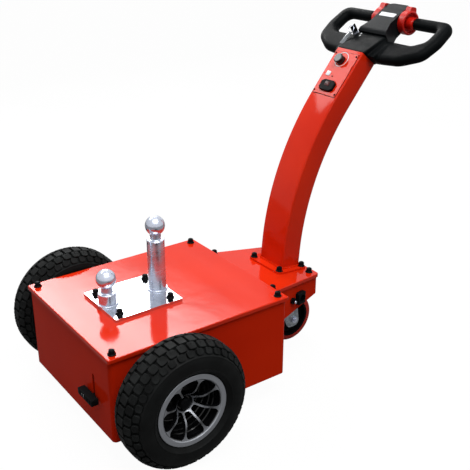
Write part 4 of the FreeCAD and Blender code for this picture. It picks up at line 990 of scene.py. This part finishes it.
@dataclass
class DriveWheel:
    """One drive wheel: tyre with its tread, machined rim, hub and nut."""

    copies: PosedCopies
    name: str
    tyre: TyreShape = field(default_factory=TyreShape)
    lugs: int = 38
    lining: tuple[Pair, ...] = (
        (0.0738, 0.036), (0.0738, -0.043), (0.0140, -0.043), (0.0140, -0.041), (0.0300, -0.038),
        (0.0655, -0.036), (0.0655, -0.030), (0.0672, -0.029), (0.0672, -0.012),
        (0.0692, -0.010), (0.0692, 0.006), (0.0712, 0.008), (0.0712, 0.020), (0.0729, 0.022))

    def __post_init__(self) -> None:
        """Read the wheel's place from the frame."""
        low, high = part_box(f"tyre_{self.name}")
        self.middle = (low + high) / 2
        self.side = math.copysign(1, self.middle.y)
        self.body = f"{self.name}_wheel"

    def build(self) -> None:
        """Build carcass, tread and rim lining, and dress rim and hub."""
        name = self.name
        look = {"body": self.body, "sharp": 35.0}
        dress(MachinedRim(f"alloy_rim_{name}", tuple(self.middle)), f"rim_{name}")
        dress(FINISHES.cap, f"hub_{name}", f"hub_nut_{name}")
        centre = Matrix.Translation(self.middle)
        place = centre @ Matrix.Rotation(-math.pi / 2, 4, "X")
        Piece(f"tyre_body_{name}", FINISHES.wall, Slot.TYRE, f"tyre_{name}", **look).make(
            lathe(self.tyre.carcass(), 120, True), place)
        for row in Lug:
            *size, phase = row.value
            poses = [centre @ Matrix.Rotation(angle, 4, "Y")
                     for angle in around(self.lugs, phase)]
            piece = Piece(f"tread_{row.name.lower()}_{name}", FINISHES.tread, Slot.TYRE,
                          body=self.body, sharp=30.0)
            self.copies.scatter(piece, self.tyre.lug(*size), poses)
        line = [(radius, self.side * out) for radius, out in self.lining]
        Piece(f"rim_lining_{name}", FINISHES.knob, Slot.ALLOY_RIM, **look).make(
            lathe(line, 96, True), place)


@dataclass
class Caster:
    """Rear caster: plated fork, red tread on a black core."""

    def build(self) -> None:
        """Dress the caster's nodes."""
        dress(FINISHES.zinc, "caster_fork", "caster_top_plate")
        dress(FINISHES.turned, "caster_axle_bolt")
        dress(FINISHES.cap, "caster_core")
        dress(FINISHES.caster_tread, "caster_tread")


# ---- Tiller and handle ----


@dataclass
class Tiller:
    """Curved column with its control panel."""

    copies: PosedCopies
    chassis: Chassis
    depth: float = 0.062
    width: float = 0.100
    corner: float = 0.005
    back: float = 0.153
    foot: float = 0.040
    bend: float = 0.747
    top: float = 0.1365
    steps: int = 64
    lean: float = math.radians(38.9)
    face: float = 0.033
    bend_back: float = 0.31926
    bend_height: float = 0.70662
    bead: float = 0.0030
    bead_spacing: float = 0.0021
    screws: tuple[Pair, ...] = ((0.001, 0.0405), (0.119, 0.0395))

    def build(self) -> None:
        """Build the column, dress its controls, and add the foot's weld and the fittings."""
        dress(FINISHES.lid, "control_panel")
        self.column()
        dress(FINISHES.knob, "speed_knob")
        dress(FINISHES.cap, "charge_gauge")
        self.foot_weld()
        self.panel_screws()
        self.panel_fittings()

    def column(self) -> None:
        """Smooth sweep of the column: a straight foot, a long bend and a straight top."""
        turn = self.lean - self.chassis.slope
        stations = [(0.0, 0.0, 0.0)]
        for step in range(self.steps + 1):
            angle = turn * step / self.steps
            stations.append((-self.bend * (1 - math.cos(angle)),
                             self.foot + self.bend * math.sin(angle), angle))
        x, z, _ = stations[-1]
        stations.append((x - self.top * math.sin(turn), z + self.top * math.cos(turn), turn))
        outline = rounded_outline(self.depth, self.width, self.corner, 6)
        shell = skinned([[(x + out * math.cos(angle), side, z + out * math.sin(angle))
                          for out, side in outline] for x, z, angle in stations])
        Piece("column_sweep", FINISHES.lid, Slot.RED_PAINT, "tiller_column", sharp=25.0).make(
            shell, self.chassis.tongue_top(self.back, 0.0, self.chassis.base_top))

    def foot_weld(self) -> None:
        """Fillet weld round the column's foot: overlapping scales on one closed line."""
        seat = self.chassis.tongue_top(self.back, 0.0, self.chassis.base_top + 0.0008)
        line = [seat @ Vector((x, y, 0)) for x, y in
                rounded_outline(self.depth + 0.002, self.width + 0.002, self.corner + 0.001, 3)]
        host = bpy.data.meshes.new("foot_weld")
        host.from_pydata(line, [(spot, (spot + 1) % len(line)) for spot in range(len(line))], [])
        scale = lathe([(self.bead * math.sin(math.pi * step / 5),
                        self.bead * math.cos(math.pi * step / 5)) for step in range(6)], 8)
        bmesh.ops.scale(scale, verts=scale.verts, vec=(0.62, 1.0, 1.0))
        WeldBead().grow(Piece("foot_weld", FINISHES.paint, Slot.RED_PAINT, sharp=60.0), host,
                        scale, Spacing=self.bead_spacing, Seed=3)

    def panel(self, along: float, across: float, lift: float = 0.0) -> Matrix:
        """Pose on the control panel: X across, Y up the column, Z out of it.

        Args:
            along: Distance up the column from the end of its bend.
            across: Place across the tug.
            lift: Height above the panel.

        Returns:
            The pose.
        """
        up = Vector((-math.sin(self.lean), 0, math.cos(self.lean)))
        out = Vector((math.cos(self.lean), 0, math.sin(self.lean)))
        turn = Matrix((up.cross(out), up, out)).transposed().to_4x4()
        end = Vector((self.chassis.rear - self.bend_back, across, self.bend_height))
        return Matrix.Translation(end + up * along + out * (self.face + lift)) @ turn

    def panel_screws(self) -> None:
        """Small button-head screws with a socket sunk in them, at the panel's corners."""
        radius, height, sunk = 0.0030, 0.0018, 0.0007
        head = lathe(((0, 0), (radius, 0), (radius, 0.0004), (radius * 0.82, height * 0.8),
                      (radius * 0.55, height), (radius * 0.48, height), (radius * 0.46, sunk),
                      (0, sunk)), 12)
        poses = [self.panel(along, side * across) for along, across in self.screws
                 for side in (-1, 1)]
        self.copies.scatter(Piece("panel_screws", FINISHES.cap, Slot.BLACK_STEEL, sharp=35.0),
                            head, poses)

    def panel_fittings(self) -> None:
        """The knob's dial, stud, seam, the gauge's window and the small lamp."""
        dial = lathe(((0.0202, 0), (0.0222, 0), (0.0220, 0.0005), (0.0204, 0.0005)), 64, True)
        stud = lathe(((0, 0), (0.0024, 0), (0.0020, 0.0007), (0, 0.0007)), 16)
        seam = hoop([Vector((x, y, 0)) for x, y in rounded_outline(0.0884, 0.1332, 0.0015)],
                    0.0007, 6)
        window = slab(rounded_outline(0.017, 0.013, 0.002), 0, 0.0009, 0.0004)
        lamp = slab(rounded_outline(0.015, 0.014, 0.002), 0, 0.0012, 0.0005)
        for name, shell, place, finish, slot in (
                ("knob_dial", dial, (0.103, -0.006), FINISHES.label, Slot.BRIGHT_METAL),
                ("panel_stud", stud, (0.050, -0.005), FINISHES.seam, Slot.BLACK_STEEL),
                ("panel_seam", seam, (0.0600, 0.0, -0.0018), FINISHES.seam, Slot.BLACK_STEEL),
                ("gauge_window", window, (0.024, 0.0, 0.0068), FINISHES.display,
                 Slot.RED_MOULDING),
                ("lamp_plate", lamp, (0.056, -0.024), FINISHES.label, Slot.BRIGHT_METAL)):
            Piece(name, finish, slot).make(shell, self.panel(*place))


@dataclass
class Handle:
    """Moulded handle loop with its control housing, levers and key."""

    copies: PosedCopies
    chassis: Chassis
    pitch: float = math.radians(33.0)
    back: float = 0.47079
    height: float = 0.84426
    marks: tuple[Pair, ...] = ((0.002, -0.036), (0.012, -0.031))
    ring: float = 0.010
    wire: float = 0.0008
    tag: Pair = (0.046, 0.015)

    def build(self) -> None:
        """Blend the loop, dress the nodes, and add the label, marks and key tag."""
        loop = reshape(Piece("loop_moulding", FINISHES.moulding, Slot.BLACK_MOULDING,
                             "handle_loop", sharp=60.0),
                       ("REMESH", {"mode": "VOXEL", "voxel_size": 0.0022}),
                       ("SMOOTH", {"factor": 0.5, "iterations": 16}),
                       ("DECIMATE", {"ratio": 0.4}))
        dress(FINISHES.housing, "control_housing")
        dress(FINISHES.levers, "thumb_lever_left", "thumb_lever_right")
        dress(FINISHES.turned, "key_switch")
        dress(FINISHES.knob, "key")
        label = slab(rounded_outline(0.015, 0.056, 0.002), -0.0004, 0.0008, 0.0004)
        Piece("housing_label", FINISHES.label, Slot.BRIGHT_METAL).make(
            label, self.pose(-0.077, 0.0, 0.0328))
        self.key_marks(loop)
        self.key_tag()

    def pose(self, along: float, across: float, lift: float) -> Matrix:
        """Pose in the handle's plane: X towards the column, Y across, Z out of the loop."""
        middle = Matrix.Translation((self.chassis.rear - self.back, 0.0, self.height))
        return (middle @ Matrix.Rotation(self.pitch, 4, "Y")
                @ Matrix.Translation((along, across, lift)))

    def key_marks(self, loop: bpy.types.Object) -> None:
        """Lay two small pale marks beside the key switch, on the neck of the loop."""
        down = self.pose(0, 0, 0).to_3x3() @ Vector((0, 0, -1))
        poses = []
        for along, across in self.marks:
            start = self.pose(along, across, 0.06).to_translation()
            found, spot, normal, _ = loop.ray_cast(start, down)
            if found:
                turn = normal.to_track_quat("Z", "Y").to_matrix().to_4x4()
                poses.append(Matrix.Translation(spot) @ turn)
        mark = slab(rounded_outline(0.0036, 0.0060, 0.001, 2), -0.0004, 0.0003, 0.0001)
        self.copies.scatter(Piece("key_marks", FINISHES.label, Slot.BRIGHT_METAL, sharp=35.0),
                            mark, poses)

    def key_tag(self) -> None:
        """Wire ring through the key's head, with a clear tag that leans down the neck."""
        low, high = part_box("key")
        hole = Vector((high.x - 0.006, (low.y + high.y) / 2, high.z - 0.005))
        drop = Vector((0.35, 0.0, -1.0)).normalized()
        across = Vector((0, 1, 0))
        centre = hole + drop * self.ring
        path = [centre + self.ring * (math.cos(angle) * drop + math.sin(angle) * across)
                for angle in around(40)]
        Piece("key_ring", FINISHES.turned, Slot.BRIGHT_METAL).make(hoop(path, self.wire, 8))
        along = Vector((0.80, 0.10, -0.60)).normalized()
        side = (across - along * along.y).normalized()
        turn = Matrix((along, side, along.cross(side))).transposed().to_4x4()
        place = Matrix.Translation(centre + drop * (self.ring - 0.002) + along * 0.022) @ turn
        Piece("key_tag", FINISHES.tag, Slot.BRIGHT_METAL).make(
            slab(rounded_outline(*self.tag, 0.004), -0.0007, 0.0007, 0.0003), place)


# ---- Studio ----


@dataclass
class Lamp:
    """A soft rectangular lamp, with its power in watts and its tilt in degrees.

    Where fade is given, it dims towards its lower edge over that share of its height.
    """

    name: str
    spot: Triple
    aim: Triple
    size: Pair
    power: float
    tilt: float = 0.0
    fade: float = 0.0

    def hang(self) -> None:
        """Hang the lamp and aim it."""
        light = bpy.data.lights.new(self.name, "AREA")
        light.shape = "RECTANGLE"
        light.size, light.size_y = self.size
        light.energy = self.power
        if self.fade:
            light.use_nodes = True
            nodes = Nodes(light.node_tree)
            split = nodes.add("ShaderNodeSeparateXYZ",
                              {0: nodes.add("ShaderNodeNewGeometry")["Parametric"]})
            ramp = nodes.add("ShaderNodeMapRange", {"Value": split["Y"], "From Max": self.fade},
                             interpolation_type="SMOOTHSTEP")
            nodes.join(ramp["Result"], light.node_tree.nodes["Emission"].inputs["Strength"])
        holder = linked(self.name, light)
        holder.location = self.spot
        facing = (Vector(self.aim) - Vector(self.spot)).to_track_quat("-Z", "Y")
        turn = Quaternion((0.0, 0.0, 1.0), math.radians(self.tilt))
        holder.rotation_euler = (facing @ turn).to_euler()


@dataclass
class Studio:
    """Plain pale floor, white surround, soft lamps and the camera."""

    chassis: Chassis
    lamps: tuple[Lamp, ...] = (
        Lamp("key_lamp", (0.35, 1.0, 3.0), (0.0, 0.0, 0.3), (2.0, 2.0), 74.0),
        Lamp("window_lamp", (-1.56, -3.60, 2.87), (-1.56, 0.0, 2.87), (2.8, 1.3), 165.0, -36.0,
             0.5),
        Lamp("panel_lamp", (0.75, -2.1, 2.6), (-0.33, 0.0, 0.76), (1.0, 0.7), 20.0))
    eye: Triple = (1.16023, 1.5887, 1.2456)
    heading: float = 233.95
    drop: float = 23.756
    roll: float = 0.154
    lens: float = 61.21
    floor_reach: float = 14.0
    floor_tones: Pair = (0.15, 0.17)
    floor_glow: float = 1.21
    floor_shown: float = 0.8
    floor_mirrored: float = 0.15
    room_range: Pair = (-0.3, 0.55)
    room_light: Pair = (0.48, 0.16)

    def build(self) -> None:
        """Set up floor, surround, lamps and camera."""
        self.lay_floor()
        self.light_world()
        for lamp in self.lamps:
            lamp.hang()
        self.place_camera()
        bpy.context.scene.view_settings.view_transform = "Standard"

    def lay_floor(self) -> None:
        """Wide floor that stays near white to the camera and still takes the tug's shadow."""
        shell = bmesh.new()
        bmesh.ops.create_grid(shell, x_segments=8, y_segments=8, size=self.floor_reach)
        floor = linked("studio_floor", mesh_from(shell, "studio_floor", outward=False))
        shader = Shader("floor_pale")
        tones = [(tone, tone, tone, 1.0) for tone in self.floor_tones]
        clouds = Noise(2.0, 3.0, 0.3, 0.7).read(shader)
        shader.set(Roughness=0.9, Specular_IOR_Level=0.1,
                   Base_Color=shader.blend(clouds, *tones))
        path = shader.add("ShaderNodeLightPath")
        seen = shader.sum("MAXIMUM", path["Is Camera Ray"], path["Is Transmission Ray"])
        share = shader.sum("MAXIMUM", shader.sum("MULTIPLY", seen, self.floor_shown),
                           shader.sum("MULTIPLY", path["Is Glossy Ray"], self.floor_mirrored))
        glow = shader.add("ShaderNodeEmission", {"Color": WHITE, "Strength": self.floor_glow})
        mix = shader.add("ShaderNodeMixShader", {0: share, 1: shader.surface.outputs[0],
                                                 2: glow[0]})
        shader.join(mix[0], shader.tree.nodes["Material Output"].inputs["Surface"])
        floor.data.materials.append(shader.material)

    def light_world(self) -> None:
        """White to the camera and in mirrors; a pale room otherwise, dimmer near the camera."""
        world = bpy.data.worlds.new("surround")
        bpy.context.scene.world = world
        world.use_nodes = True
        nodes = Nodes(world.node_tree)
        ahead = math.radians(self.heading)
        towards = nodes.add("ShaderNodeVectorMath",
                            {0: nodes.add("ShaderNodeTexCoord")["Generated"],
                             1: (-math.cos(ahead), -math.sin(ahead), 0.0)},
                            operation="DOT_PRODUCT")["Value"]
        room = nodes.spread(towards, *self.room_range, *self.room_light)
        path = nodes.add("ShaderNodeLightPath")
        seen = nodes.sum("MAXIMUM", path["Is Camera Ray"], path["Is Transmission Ray"])
        seen = nodes.sum("MAXIMUM", seen, path["Is Glossy Ray"])
        background = world.node_tree.nodes["Background"].inputs
        nodes.join(nodes.add("ShaderNodeMix", {0: seen, 2: room, 3: 1.0})[0],
                   background["Strength"])
        nodes.join(WHITE, background["Color"])

    def place_camera(self) -> None:
        """Set the camera at standing height, off the tug's front left corner."""
        camera = bpy.data.cameras.new("camera")
        camera.sensor_width = 36.0
        camera.lens = self.lens
        holder = linked("camera", camera)
        holder.location = Vector(self.eye) + Vector((self.chassis.rear, 0.0, 0.0))
        level = Euler((math.radians(90 - self.drop), 0.0, math.radians(self.heading - 90)))
        turn = Matrix.Rotation(math.radians(self.roll), 3, "Z")
        holder.rotation_euler = (level.to_matrix() @ turn).to_euler()
        bpy.context.scene.camera = holder


def main() -> None:
    """Build the tug's looks, sub-assembly by sub-assembly."""
    logging.basicConfig(level=logging.INFO, format="%(message)s")
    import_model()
    copies = PosedCopies()
    bolts = CapBolts(copies)
    chassis = Chassis(bolts)
    chassis.build()
    Coupling(bolts).build()
    for name in ("left", "right"):
        DriveWheel(copies, name).build()
    Caster().build()
    Tiller(copies, chassis).build()
    Handle(copies, chassis).build()
    Studio(chassis).build()


if __name__ == "__main__":
    main()
